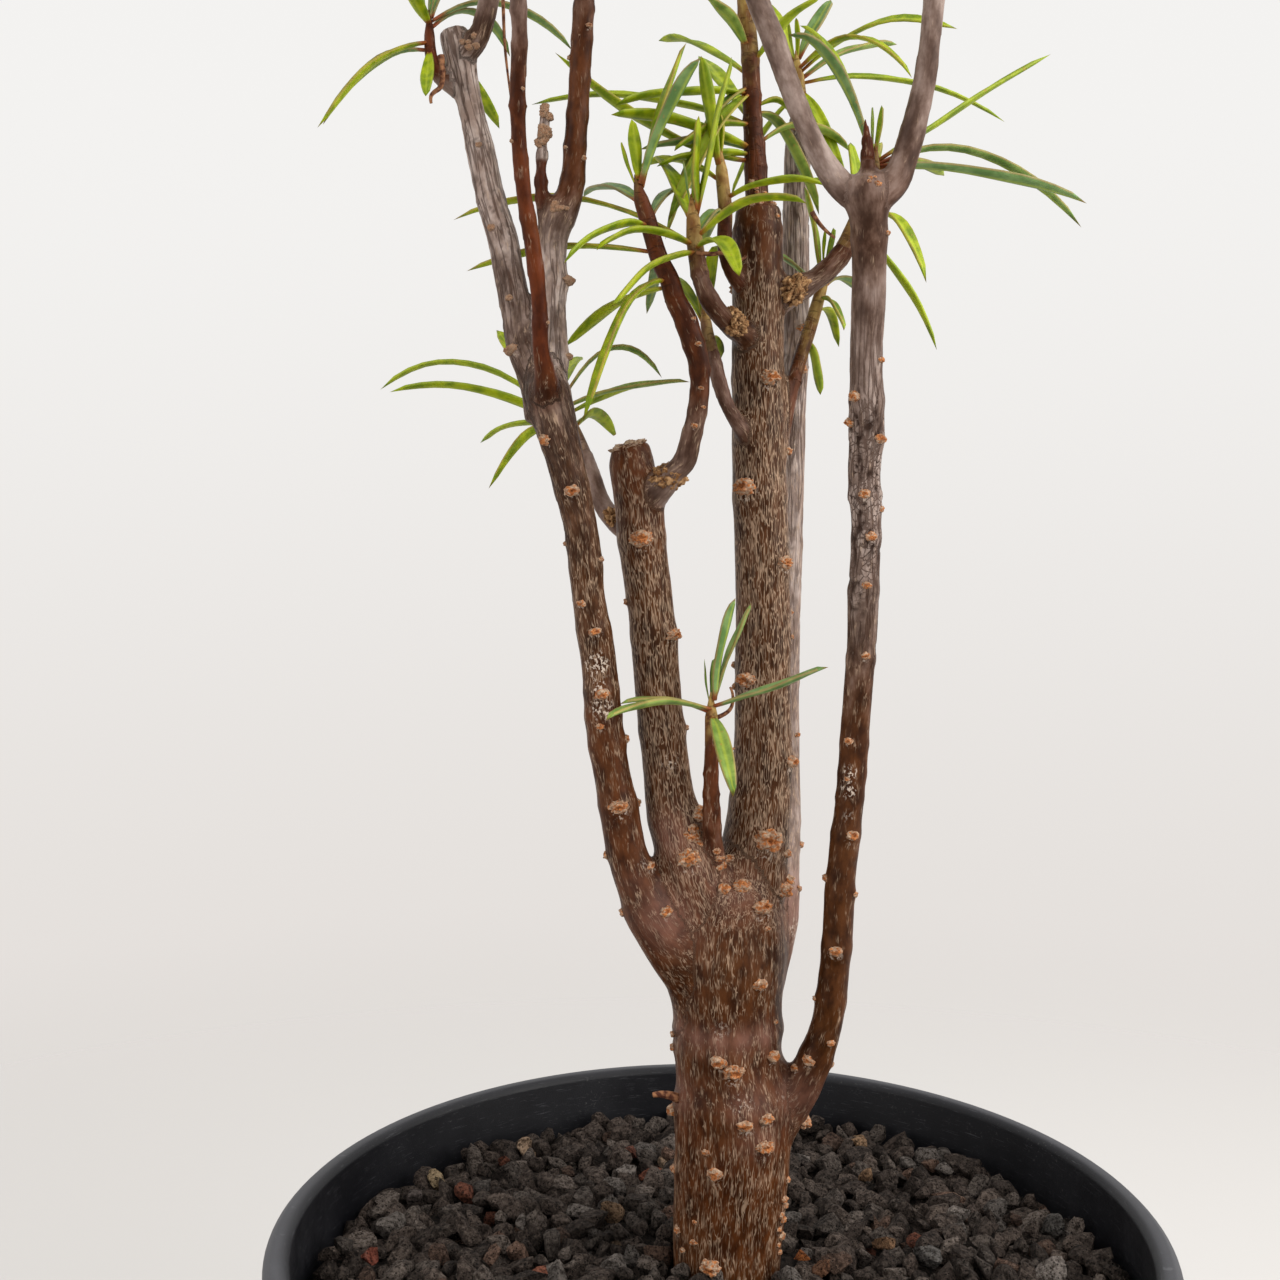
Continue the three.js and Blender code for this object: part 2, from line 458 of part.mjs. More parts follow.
function pot() {
  const collarBottom = POT_HEIGHT - COLLAR_HEIGHT;
  const wallTop = RIM_RADIUS - COLLAR_STEP;
  const innerTop = wallTop - WALL;
  const floorTop = FOOT_HEIGHT + FLOOR;
  const shell = turned([
    [0, FOOT_HEIGHT],
    [BASE_RADIUS - FOOT_WIDTH, FOOT_HEIGHT],
    [BASE_RADIUS - FOOT_WIDTH, 0],
    [BASE_RADIUS - EDGE_ROUND, 0],
    [BASE_RADIUS, EDGE_ROUND],
    [wallTop, collarBottom - EDGE_ROUND],
    [RIM_RADIUS - LIP_RELIEF, collarBottom + EDGE_ROUND],
    [RIM_RADIUS - LIP_RELIEF / 2, POT_HEIGHT - LIP_HEIGHT],
    [RIM_RADIUS, POT_HEIGHT - LIP_HEIGHT / 2],
    [RIM_RADIUS - LIP_RELIEF / 4, POT_HEIGHT - EDGE_ROUND],
    [RIM_RADIUS - LIP_RELIEF, POT_HEIGHT],
    [RIM_INNER_RADIUS + EDGE_ROUND, POT_HEIGHT],
    [RIM_INNER_RADIUS, POT_HEIGHT - EDGE_ROUND],
    [innerTop + EDGE_ROUND, collarBottom + KNEE],
    [innerTop, collarBottom - KNEE],
    [BASE_RADIUS - WALL, floorTop],
    [0, floorTop],
  ], POT_SEGMENTS);
  const drill = (x, y) => {
    const depth = 4 * floorTop;
    const hole = new THREE.CylinderGeometry(DRAIN_RADIUS, DRAIN_RADIUS, depth, DRAIN_SIDES);
    hole.rotateX(Math.PI / 2);
    hole.translate(x, y, 0);
    return solidOf(hole);
  };
  const holes = [drill(0, 0)];
  for (let i = 0; i < DRAIN_COUNT; i += 1) {
    const turn = 2 * Math.PI * i / DRAIN_COUNT;
    holes.push(drill(DRAIN_CIRCLE * Math.cos(turn), DRAIN_CIRCLE * Math.sin(turn)));
  }
  return shell.subtract(joined(holes));
}

// The inside of the pot at a given height, less the hairline gap
function fillRadius(height) {
  const bottom = FOOT_HEIGHT + FLOOR;
  const knee = POT_HEIGHT - COLLAR_HEIGHT - KNEE;
  const kneeRadius = RIM_RADIUS - COLLAR_STEP - WALL;
  const share = Math.min((height - bottom) / (knee - bottom), 1);
  return THREE.MathUtils.lerp(BASE_RADIUS - WALL, kneeRadius, share) - GAP;
}

// The lower trunk, a little fatter, to cut the hole that it stands in
function trunkHole() {
  const axis = stemAxis(STEMS.trunk.points);
  return rod(axis, 0, BURIED_SHARE, STEMS.trunk.sides, BURIED_RINGS, 2 * GAP);
}

function pottingMix() {
  const bottom = FOOT_HEIGHT + FLOOR + GAP;
  const body = turned([
    [0, bottom], [fillRadius(bottom), bottom], [fillRadius(MIX_TOP), MIX_TOP], [0, MIX_TOP],
  ], POT_SEGMENTS);
  return body.subtract(trunkHole());
}

// A number from 0 to 1 that is always the same for the same place
function scatter(column, row, channel) {
  const [a, b, c] = SCATTER_WAVES;
  const wave = Math.sin(column * a + row * b + channel * c) * SCATTER_SCALE;
  return wave - Math.floor(wave);
}

// The top dressing of crushed lava: a bed whose top rises to a lump at every second
// corner of a grid, each shifted and lifted a little by its own amount
function lavaGravel() {
  const bottom = MIX_TOP + GAP;
  const radius = fillRadius(bottom);
  const cell = LUMP_PITCH / 2;
  const cells = 2 * Math.ceil(radius / cell);
  const side = cells * cell;
  const block = new THREE.BoxGeometry(side, side, 1, cells, cells, 1);
  const position = block.attributes.position;
  for (let i = 0; i < position.count; i += 1) {
    const column = Math.round((position.getX(i) + side / 2) / cell);
    const row = Math.round((position.getY(i) + side / 2) / cell);
    const summit = column % 2 === 1 && row % 2 === 1;
    const shift = (channel) => (scatter(column, row, channel) - 0.5) * cell * LUMP_SHIFT;
    const lift = (summit ? LUMP_HEIGHT : 0) + scatter(column, row, 3) * LUMP_UNEVEN;
    const height = position.getZ(i) > 0 ? GRAVEL_BED + lift : bottom - LUMP_HEIGHT;
    position.setXYZ(i, position.getX(i) + shift(1), position.getY(i) + shift(2), height);
  }
  const inside = disc(radius, bottom, POT_HEIGHT, POT_SEGMENTS);
  return solidOf(block).intersect(inside).subtract(trunkHole());
}

function woodyStems() {
  const solids = Object.values(STEMS).map(woodySolid);
  for (const [name, scars] of Object.entries(SCARS)) {
    solids.push(...scars.map((place) => scar(STEMS[name], place)));
  }
  return joined(solids);
}

const plant = new THREE.Group();

function add(name, solid, color, roughness, metalness = 0) {
  const material = new THREE.MeshStandardMaterial({ color, roughness, metalness });
  const mesh = new THREE.Mesh(geometryOf(solid), material);
  mesh.name = name;
  plant.add(mesh);
}

add('pot', pot(), 0x17181a, 0.5);
add('potting_mix', pottingMix(), 0x3a2c20, 0.95);
add('lava_gravel', lavaGravel(), 0x2b2624, 0.95);
add('woody_stems', woodyStems(), 0x6b5340, 0.85);
for (const name of Object.keys(STEMS)) {
  if (STEMS[name].leafy !== undefined) {
    const colour = CROWNS[name] ? SHOOT_COLOUR.grown : SHOOT_COLOUR.young;
    add(`leafy_${name}`, shootSolid(name), colour, 0.5);
  }
}

export default plant;
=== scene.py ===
# %% [markdown]
# # A potted balsam spurge
#
# The plant is an old branching shrub: one thick trunk, six tall branches, short leafy spurs
# and narrow green leaves. It stands in a round black plastic pot under a layer of crushed
# lava. The frame holds the exact sizes, and this lesson dresses it piece by piece: the
# bark, its corky scars, the leaves, the stones, the pot, and then light and camera.

# %% Load the frame
import json
import math
import random

import bmesh
import bpy
import numpy as np
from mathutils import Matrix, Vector, kdtree, noise
from mathutils.bvhtree import BVHTree

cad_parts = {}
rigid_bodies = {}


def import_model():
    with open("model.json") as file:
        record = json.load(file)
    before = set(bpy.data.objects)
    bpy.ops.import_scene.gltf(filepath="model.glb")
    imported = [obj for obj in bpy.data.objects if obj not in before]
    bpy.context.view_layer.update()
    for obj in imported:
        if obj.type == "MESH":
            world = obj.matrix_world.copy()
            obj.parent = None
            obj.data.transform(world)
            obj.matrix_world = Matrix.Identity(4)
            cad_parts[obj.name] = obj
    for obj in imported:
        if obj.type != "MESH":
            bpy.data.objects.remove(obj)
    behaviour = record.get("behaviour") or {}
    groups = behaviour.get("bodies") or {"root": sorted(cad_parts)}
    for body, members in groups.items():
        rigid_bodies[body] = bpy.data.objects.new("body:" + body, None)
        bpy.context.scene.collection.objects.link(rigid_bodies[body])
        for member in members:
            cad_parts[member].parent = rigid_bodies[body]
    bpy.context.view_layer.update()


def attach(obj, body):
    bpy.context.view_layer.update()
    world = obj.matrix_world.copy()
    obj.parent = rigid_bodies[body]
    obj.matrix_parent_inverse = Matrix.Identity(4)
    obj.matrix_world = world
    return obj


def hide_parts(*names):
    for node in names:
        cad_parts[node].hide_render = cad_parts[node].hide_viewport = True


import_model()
MM = 0.001

# %% [markdown]
# ## The camera
# The pot's rim is a circle, so its ellipse in the picture gives the lens and the height of
# the camera. Setting it first means that every later look at the render is from the right
# place. The camera looks level along +Y and a little down, and nothing is shifted.

# %% Place the camera
LENS = 42.19
CAMERA_PLACE = (-13.2, -251.0, 240.7)
CAMERA_PITCH = 3.8

camera = bpy.data.objects.new("camera", bpy.data.cameras.new("camera"))
camera.data.sensor_width = 36.0
camera.data.lens = LENS
camera.data.clip_start = 0.01
camera.location = Vector(CAMERA_PLACE) * MM
camera.rotation_euler = (math.radians(90 - CAMERA_PITCH), 0, 0)
bpy.context.collection.objects.link(camera)
bpy.context.scene.camera = camera
print("the camera is", round(camera.location.length, 3), "m from the pot's foot")

# %% [markdown]
# ## The stems as lines
# A stem is easiest to think of as a curved line with a thickness. Each one below is a list
# of (x, y, z, radius) in millimetres, from the stem it grows out of to its tip. The same
# lists shaped the solids of the frame, so what grows from them here fits those solids.

# %% List the stems
STEMS = {
    "trunk": [
        (2, 3, 84, 3), (2, 3.5, 92, 6.3), (2, 4, 104, 9), (2, 4, 116, 9.5), (2.6, 4, 129.5, 9.9),
        (3, 4, 138, 10.2), (2.7, 4, 146.5, 9.7), (2, 4, 152, 9.2), (2.1, 4, 158.5, 9.2),
        (1.8, 4, 164, 9.8), (1.8, 4, 170, 10.3), (2, 4, 176, 9.7), (2.5, 4, 182.5, 7.4)],
    "main": [
        (4, 5, 173.5, 7.3), (6, 5, 184, 6.2), (7.5, 5, 196, 5.3), (8, 6, 213.5, 4.8),
        (8, 7, 230.5, 4.7), (7.5, 8, 247.5, 4.7), (7, 8, 264.5, 4.5), (7, 9, 281.5, 4.5),
        (7, 10, 293.5, 4.2), (7, 10, 298, 3.6)],
    "left": [
        (1.5, 4, 153, 8.4), (0.5, 4, 161, 8.4), (-2.3, 3, 167, 7.4), (-6.9, 1, 172.1, 5.8),
        (-10.8, -1, 177.2, 4.5), (-13.5, -2, 183, 3.7), (-15.5, -3, 189, 3.3),
        (-17, -4, 197.5, 3.2), (-19, -5, 209.5, 3), (-20, -6, 221, 2.9), (-21.5, -7, 231, 2.8),
        (-22.5, -8, 241, 2.7), (-24.5, -9, 250.5, 2.9), (-26.5, -10, 258.5, 3.4),
        (-28, -10, 264.5, 3.8), (-28.3, -10, 268, 2.6)],
    "stump": [
        (-1, 2, 174, 6), (-4.5, 0, 183.5, 5.1), (-7.5, 0, 193.5, 4.2), (-9, 0, 204, 3.9),
        (-10, 0, 214, 3.9), (-11.5, 0, 230.5, 3.9), (-13, 0, 241, 4), (-13.5, 0, 247.5, 4.1),
        (-14.5, 0, 252.5, 3.8), (-14.7, 0, 255.5, 3.4), (-14.9, 0, 257, 2.9)],
    "back": [
        (6, 4, 156, 2.5), (8, 5.5, 163, 3.8), (9, 7, 169, 4.3), (10.7, 9, 175, 4.1),
        (11.7, 12.5, 181, 3.5), (12.5, 16, 187, 3.1), (13, 19, 194, 2.9), (13, 20, 212, 2.7),
        (13.5, 21, 230, 2.5), (14, 22, 248, 2.5), (14.5, 23, 262.5, 2.4), (15, 24, 284, 2.4),
        (15, 25, 302, 2.3), (15, 25, 311, 2.1), (15.5, 25.5, 317, 1.5)],
    "right": [
        (8.5, 5, 137, 5), (11, 4.5, 141.5, 4.4), (14, 2, 146, 3.6), (16.5, 0, 152, 2.9),
        (18.5, -2, 159.5, 2.6), (19.5, -4, 170.5, 2.5), (20, -7, 186.5, 2.4),
        (21, -9, 198.5, 2.3), (21.5, -11, 212, 2.3), (22, -13, 223.5, 2.3),
        (22, -15, 233, 2.4), (22, -17, 242.5, 2.3), (21.5, -18, 251.5, 2.5),
        (21.5, -20, 259, 2.6), (21, -22, 269.5, 2.5), (21, -24, 279.5, 2.5),
        (20.5, -26, 288, 2.8), (20, -27, 291.5, 3.6), (20, -27, 294, 2.4)],
    "right_arm_left": [
        (19.5, -27, 290.5, 2.3), (16.5, -27, 292.5, 2), (13.5, -28, 296, 1.7),
        (10.5, -29, 301.5, 1.55), (8, -30, 307, 1.55), (6, -31, 312, 1.6),
        (3.5, -32, 317.5, 1.65), (1.5, -33, 323, 1.65), (0, -34, 329, 1.6),
        (-1.5, -35, 338, 1.4), (-2.5, -35, 347, 1)],
    "right_arm_right": [
        (21, -27, 290.5, 2.5), (24, -27, 293, 2.2), (25.5, -27, 296.5, 1.9),
        (27, -28, 302, 1.7), (28, -29, 307, 1.6), (28.5, -30, 312.5, 1.5), (29, -30, 318, 1.5),
        (29.5, -30, 325, 1.5), (30, -30, 332, 1.5), (31, -30, 341, 1.3), (32, -30, 350, 1)],
    "fork_shoot": [
        (20.6, -26, 290, 1.4), (21.3, -24.2, 294.6, 1.2), (21.7, -23.6, 297.2, 0.9),
        (21.9, -23.4, 299.8, 0.7)],
    "fork_bud": [
        (20.3, -27, 291, 1.2), (20.2, -27, 296, 1), (20, -27, 299.5, 1),
        (19.8, -27, 302.5, 0.5)],
    "far_left": [
        (-28.5, -9, 260, 3.2), (-29.5, -8, 265, 2.9), (-31, -7, 269, 2.6),
        (-32.5, -6, 273, 2.5), (-33.5, -5, 279.5, 2.5), (-34.5, -4, 284.5, 2.5),
        (-35.5, -3, 289.5, 2.5), (-37.5, -2, 296, 2.4), (-39, -1, 303, 2.3),
        (-40.5, 0, 309.5, 2.1), (-42, 1, 316, 2.3), (-43, 1, 321, 2.6), (-44, 1, 324.5, 2.4)],
    "far_left_side": [
        (-42.8, 0.5, 319, 1.6), (-40, -1, 321.5, 1.8), (-38.5, -2, 324.5, 1.7),
        (-37.5, -3, 328, 1.6), (-37, -4, 332, 1.6), (-37, -4.5, 336, 1.5),
        (-37.5, -5, 344, 1.3), (-38, -5, 352, 0.9)],
    "far_left_shoot": [
        (-42.6, 0.8, 314, 1.4), (-46.2, 0, 316.6, 1.2), (-47.3, -0.2, 319.6, 1),
        (-47.6, -0.2, 327, 0.7)],
    "left_centre": [
        (-28, -9, 264, 3.2), (-27.5, -8, 269.5, 2.7), (-27.5, -7, 276, 2.5),
        (-27.5, -6, 282.5, 2.5), (-27.5, -5, 289, 2.6), (-26.5, -5, 292.5, 2.7),
        (-25, -5, 295, 2.3), (-24, -5, 298.5, 1.9), (-23.5, -6, 304.5, 1.8),
        (-23, -6, 311, 1.7), (-22.5, -7, 318.5, 1.7), (-22, -8, 326, 1.6),
        (-21.5, -8.5, 332, 1.6), (-21, -9, 338, 1.5), (-20.5, -9, 346, 1.3),
        (-20, -9, 355, 0.9)],
    "front_left": [
        (-28, -11, 263, 2.8), (-28, -15.5, 267, 1.5), (-28.5, -18, 270.5, 1.15),
        (-28.5, -20, 277, 1.1), (-29.5, -22, 286, 1.1), (-30.5, -24, 292.5, 1.1),
        (-31, -26, 299.5, 1.1), (-31, -28, 306, 1.15), (-30.5, -30, 312.5, 1.15),
        (-30.5, -32, 317.5, 1.15), (-30.5, -33, 324, 1.2), (-30, -34, 330, 1.2),
        (-29.5, -35, 339, 1.1), (-29, -35, 348, 0.9)],
    "dead_spur": [
        (-28, -5, 290, 1.1), (-29, -6, 296, 0.95), (-29, -6.3, 301, 0.85),
        (-28.6, -6.6, 306, 0.75), (-28, -7, 310, 0.5)],
    "hidden_left": [
        (-12.5, 2, 239.5, 1.9), (-18, 7, 244.5, 1.7), (-20, 9, 247.5, 1.6),
        (-21.5, 11, 251.5, 1.6), (-23, 13, 255.5, 1.4), (-25, 15, 260, 1.3),
        (-27, 16, 263.5, 1.2), (-28.5, 16, 268, 1)],
    "stump_shoot": [
        (-12, -1, 247, 2.6), (-8.5, -4, 251, 2.2), (-6, -5, 253.5, 2), (-5, -6, 257, 1.7),
        (-4, -6, 261, 1.6), (-3.5, -6, 266.5, 1.6), (-4, -7, 270.5, 1.7), (-5, -7, 273.5, 1.8),
        (-6, -7, 276.5, 1.8), (-7.5, -7, 279.3, 1.7), (-8.5, -7, 282.5, 1.6),
        (-10, -7, 285.5, 1.5), (-11, -7, 288.5, 1.4), (-12, -7, 292, 1.4), (-13, -7, 295, 1.2),
        (-14, -7, 299, 0.9)],
    "centre_left": [
        (5.5, 6.5, 274.5, 2.4), (2.5, 1.5, 276, 2.3), (0, -4, 277.2, 1.6),
        (-2, -6, 279.5, 1.4), (-3.4, -7, 282.5, 1.4), (-4, -7, 285.5, 1.4),
        (-4.5, -7, 289, 1.3), (-4.7, -7, 292, 1.1), (-5, -7, 296, 0.8)],
    "centre_low": [
        (5, 5, 258, 1.5), (1.5, 1.5, 263, 1.2), (0, 1, 267, 1.2), (-1, 2, 271.5, 1.1),
        (-2, 3, 276, 1), (-2.5, 4, 281, 0.8)],
    "centre_back": [
        (5, 7, 282.5, 1.6), (2, 5, 286.5, 1.3), (1, 4, 290.5, 1.3), (1, 3, 295.5, 1.2),
        (0.5, 3, 300.5, 1.1), (0, 3, 306, 0.8)],
    "main_tip": [
        (7, 10, 295, 2.2), (6.7, 10, 301, 2), (6.5, 10, 305.5, 1.9), (6, 10, 312, 1.6),
        (5.5, 9, 322, 1.5), (4.5, 8, 331.5, 1.4), (4, 8, 342, 1.2), (3.5, 8, 352, 0.9)],
    "back_side": [
        (15, 25, 305, 1.5), (16.2, 22.5, 308.5, 1.3), (16, 21.5, 313, 1.2),
        (15.3, 20, 318, 1.1), (14.5, 18, 322.5, 1), (14, 17, 326, 0.8)],
    "right_side": [
        (9, 9, 281, 2.8), (13.5, 9, 283.5, 2.4), (16.5, 9, 285, 1.8), (19.5, 9, 287.5, 1.8),
        (21.7, 9, 290.3, 1.7), (23, 9, 293, 1.6), (24, 8.5, 296, 1.3), (24.8, 8, 299, 0.9)],
    "right_low": [
        (8.5, 8.5, 251, 1.6), (11, 9, 257.5, 1.3), (12, 9.7, 263, 1.3), (13.3, 10.5, 268, 1.3),
        (14.5, 11.5, 272, 1.2), (16, 12.5, 276.5, 1.2), (17.4, 13.3, 281, 1.1),
        (18.5, 13.8, 285, 1), (19.2, 14, 289.5, 0.8)],
    "crotch_shoot": [
        (0, 1, 184, 2), (-1, -3.5, 191, 1.4), (-1.5, -6, 199.5, 1.2), (-1.5, -7, 207, 1.1),
        (-1.5, -7, 211.5, 1.1), (-1.6, -7, 216, 0.8)],
}
# the point of its list from which a stem is green and leafy
LEAFY_FROM = {"right_arm_left": 8, "right_arm_right": 8, "fork_shoot": 1, "far_left_side": 5,
              "far_left_shoot": 1, "left_centre": 13, "front_left": 11, "hidden_left": 4,
              "stump_shoot": 9, "centre_left": 4, "centre_low": 3, "centre_back": 2,
              "main_tip": 1, "back_side": 2, "right_side": 4, "right_low": 3, "crotch_shoot": 3}
print(len(STEMS), "stems are listed")

# %% Draw a smooth line through each list
STEPS = 24


class Stem:
    """The curved middle line of a stem, measured in millimetres along its length."""

    def __init__(self, name, points, order):
        self.name, self.order = name, order
        places = np.array(points, float)
        xyz = places[:, :3]
        ends = np.vstack([2 * xyz[0] - xyz[1], xyz, 2 * xyz[-1] - xyz[-2]])
        t = np.linspace(0, 1, STEPS, endpoint=False)[:, None]
        line, radii = [], []
        for i in range(len(xyz) - 1):
            p0, p1, p2, p3 = ends[i:i + 4]
            a, b, c = (np.linalg.norm(q - p) ** 0.5 for p, q in ((p0, p1), (p1, p2), (p2, p3)))
            go = b * ((p1 - p0) / a - (p2 - p0) / (a + b) + (p2 - p1) / b)
            come = b * ((p2 - p1) / b - (p3 - p1) / (b + c) + (p3 - p2) / c)
            bend = 3 * (p2 - p1) - 2 * go - come
            line.append(p1 + go * t + bend * t ** 2 + (2 * (p1 - p2) + go + come) * t ** 3)
            radii.append(places[i, 3] + (places[i + 1, 3] - places[i, 3]) * t[:, 0])
        self.line = np.vstack([*line, xyz[-1]])
        self.radii = np.append(np.concatenate(radii), places[-1, 3])
        steps = np.linalg.norm(np.diff(self.line, axis=0), axis=1)
        self.marks = np.append(0, np.cumsum(steps))
        self.length = self.marks[-1]
        leafy = LEAFY_FROM.get(name)
        self.wood_end = self.length if leafy is None else self.marks[leafy * STEPS]

    def at(self, mark):
        """The place on the line at a length from its start."""
        return np.array([np.interp(mark, self.marks, self.line[:, i]) for i in range(3)])

    def radius(self, mark):
        return float(np.interp(mark, self.marks, self.radii))

    def heading(self, mark):
        ahead = self.at(min(mark + 0.5, self.length)) - self.at(max(mark - 0.5, 0))
        return ahead / np.linalg.norm(ahead)

    def mark_at_height(self, height):
        above = np.nonzero(self.line[:, 2] >= height)[0]
        return self.marks[above[0]] if len(above) else self.length


stems = {name: Stem(name, points, i) for i, (name, points) in enumerate(STEMS.items())}
print(len(stems), "stems,", round(sum(s.length for s in stems.values())), "mm in all")

# %% [markdown]
# ## One skin of bark
# Where two branches part, real bark runs over the fork in one soft saddle. Tubes that are
# only pushed into each other show a hard seam there. So each stem is first a curve with a
# round bevel and its own radius at every point, then all the tubes are melted into one skin
# by a voxel remesh, and a little smoothing turns the seams into saddles. Smoothing shrinks
# thin stems more than thick ones, so each tube starts a touch too fat. The voxel size keeps
# the skin under 200,000 triangles.

# %% Swell the stems at their nodes
VOXEL = 0.58
SHRINK = 0.2
OVERLAP = 0.8
TUBE_STEP = 0.6
RINGS = {
    # height, swelling and reach along the stem, in millimetres
    "trunk": [(156.8, 0.55, 1.3), (153.4, 0.2, 1.2), (144.5, 0.35, 2.4), (131.0, 0.15, 2.0)],
    "main": [(196, 0.15, 1.5), (222, 0.15, 1.2), (248, 0.2, 1.5), (268, 0.15, 1.5),
             (293.5, 0.35, 1.0), (296.5, 0.25, 0.6)],
    "left": [(178, 0.25, 1.4), (197, 0.2, 1.2), (207, 0.2, 1.0), (212, 0.25, 0.9),
             (216, 0.2, 0.9), (226, 0.15, 1.2), (236, 0.15, 1.2), (249, 0.15, 1.2)],
    "stump": [(194, 0.3, 1.6), (209, 0.2, 1.2), (225, 0.2, 1.2), (241, 0.25, 1.4),
              (253.5, 0.2, 1.0)],
    "right": [(153, 0.2, 1.2), (163.5, 0.15, 1.0), (173, 0.25, 1.2), (182.5, 0.2, 1.0),
              (193, 0.2, 1.0), (199, 0.2, 0.8), (203, 0.2, 0.8), (208, 0.15, 0.9),
              (222, 0.2, 1.0), (233, 0.2, 1.0), (241, 0.2, 0.9), (247.5, 0.4, 0.8),
              (256, 0.25, 1.0), (262, 0.3, 0.8), (285, 0.15, 1.0)],
    "far_left": [(279, 0.15, 0.8), (296, 0.15, 0.9), (305, 0.1, 0.8)],
    "left_centre": [(282, 0.2, 0.9), (293, 0.3, 1.4), (298.7, 0.3, 0.5), (303.7, 0.3, 0.5),
                    (308.6, 0.3, 0.6), (314, 0.25, 0.5), (320, 0.25, 0.6), (324.5, 0.25, 0.6)],
    "front_left": [(273.7, 0.3, 0.6), (281, 0.15, 0.5), (288.8, 0.3, 0.5), (297, 0.15, 0.5),
                   (304, 0.3, 0.5), (312, 0.25, 0.6), (316.2, 0.25, 0.5), (323, 0.2, 0.5)],
    "stump_shoot": [(252, -0.3, 1.5), (258, 0.2, 0.5), (261.5, 0.25, 0.5), (264.5, 0.15, 0.4),
                    (268, 0.25, 0.5), (272, 0.25, 0.5), (275.5, 0.2, 0.5)],
    "centre_left": [(275.6, -0.45, 1.2), (279.5, 0.2, 0.7), (283.5, 0.2, 0.5)],
    "right_side": [(284, 0.25, 0.5), (286.5, 0.2, 0.4), (289, 0.2, 0.5)],
    "right_low": [(256, 0.2, 0.5), (262, 0.2, 0.5), (268, 0.2, 0.5)],
    "crotch_shoot": [(193, 0.25, 0.5), (196, 0.2, 0.4), (199, 0.25, 0.5), (202.5, 0.2, 0.4)],
    "right_arm_left": [(303, 0.15, 0.6), (312, 0.15, 0.6), (322, 0.15, 0.6)],
    "right_arm_right": [(300, 0.15, 0.6), (309, 0.15, 0.6), (319, 0.15, 0.6)],
    "dead_spur": [(293, .3, .6), (295.5, .35, .5), (298, .3, .6), (300.2, -.3, .5),
                  (302, .25, .5), (303.8, -.25, .4), (305.2, .25, .5), (307, .2, .5),
                  (308.6, .3, .4)],
    "fork_bud": [(294, .35, .6), (297, .3, .6), (299.5, .2, .5)],
    "back": [(190, 0.2, 0.8), (215, 0.2, 0.9), (240, 0.2, 0.9), (272, 0.25, 0.9),
             (300, 0.2, 0.8)],
}
# the length over which a tip narrows
TAPERS = {"fork_bud": 6.5, "dead_spur": 1.5}
LEAFY_TAPER, BLUNT_TAPER = 4.0, 0.01


def swollen(stem, mark):
    """A stem's radius with the rings of its nodes on it, and its tip brought to a point."""
    height = stem.at(mark)[2]
    rings = sum(swell * math.exp(-((height - level) / reach) ** 2)
                for level, swell, reach in RINGS.get(stem.name, []))
    taper = TAPERS.get(stem.name, LEAFY_TAPER if stem.name in LEAFY_FROM else BLUNT_TAPER)
    share = min(1, max(0, stem.length - mark) / taper)
    return (stem.radius(mark) + rings) * max(0.15, share ** 0.6)


print(sum(len(r) for r in RINGS.values()), "rings at the nodes")

# %% Make a tube from a stretch of a stem


def tube(stem, start, end, step=TUBE_STEP, sides=20, extra=0.0):
    """A mesh of the stem between two lengths, from a curve with a round bevel."""
    count = max(2, round((end - start) / step)) + 1
    marks = np.linspace(start, end, count)
    curve = bpy.data.curves.new(stem.name, "CURVE")
    curve.dimensions = "3D"
    curve.bevel_depth = MM
    curve.bevel_resolution = (sides - 4) // 2
    curve.use_fill_caps = True
    spline = curve.splines.new("POLY")
    spline.points.add(count - 1)
    for point, mark in zip(spline.points, marks):
        radius = swollen(stem, mark)
        point.co = (*(stem.at(mark) * MM), 1)
        point.radius = radius + extra / max(radius, 0.8)
    thing = bpy.data.objects.new(stem.name, curve)
    mesh = bpy.data.meshes.new_from_object(thing)
    bpy.data.objects.remove(thing)
    bpy.data.curves.remove(curve)
    return mesh


def as_object(name, mesh):
    thing = bpy.data.objects.new(name, mesh)
    bpy.context.collection.objects.link(thing)
    return thing


def from_bmesh(name, bm):
    mesh = bpy.data.meshes.new(name)
    bm.to_mesh(mesh)
    bm.free()
    return as_object(name, mesh)


def settle(thing):
    """Turns an object's modifiers into plain mesh."""
    graph = bpy.context.evaluated_depsgraph_get()
    mesh = bpy.data.meshes.new_from_object(thing.evaluated_get(graph))
    thing.modifiers.clear()
    old, thing.data = thing.data, mesh
    bpy.data.meshes.remove(old)
    return mesh


# %% Melt the woody tubes into one skin
tubes = bmesh.new()
for stem in stems.values():
    part = tube(stem, 0, stem.wood_end + OVERLAP, extra=SHRINK)
    tubes.from_mesh(part)
    bpy.data.meshes.remove(part)
bark = from_bmesh("bark", tubes)
melt = bark.modifiers.new("one_skin", "REMESH")
melt.mode = "VOXEL"
melt.voxel_size = VOXEL * MM
soften = bark.modifiers.new("saddles", "SMOOTH")
soften.factor = 0.5
soften.iterations = 6
settle(bark)
print("the bark has", len(bark.data.vertices), "points")

# %% [markdown]
# ## Grain that follows every branch
# Bark is streaked along the branch, whichever way the branch leans. A texture on plain
# object coordinates would run straight up through all of them. Instead every point of the
# skin looks for the stem it belongs to, and stores how far it is round and along that stem.
# A noise read from these numbers, and stretched along the last one, follows each bend.

# %% Find the grain of any mesh on the stems


def read_points(mesh):
    flat = np.empty(len(mesh.vertices) * 3)
    mesh.vertices.foreach_get("co", flat)
    return flat.reshape(-1, 3) / MM


def read_normals(mesh):
    flat = np.empty(len(mesh.vertices) * 3)
    mesh.vertex_normals.foreach_get("vector", flat)
    return flat.reshape(-1, 3)


def write_points(mesh, points):
    mesh.vertices.foreach_set("co", (points * MM).ravel())
    mesh.update()


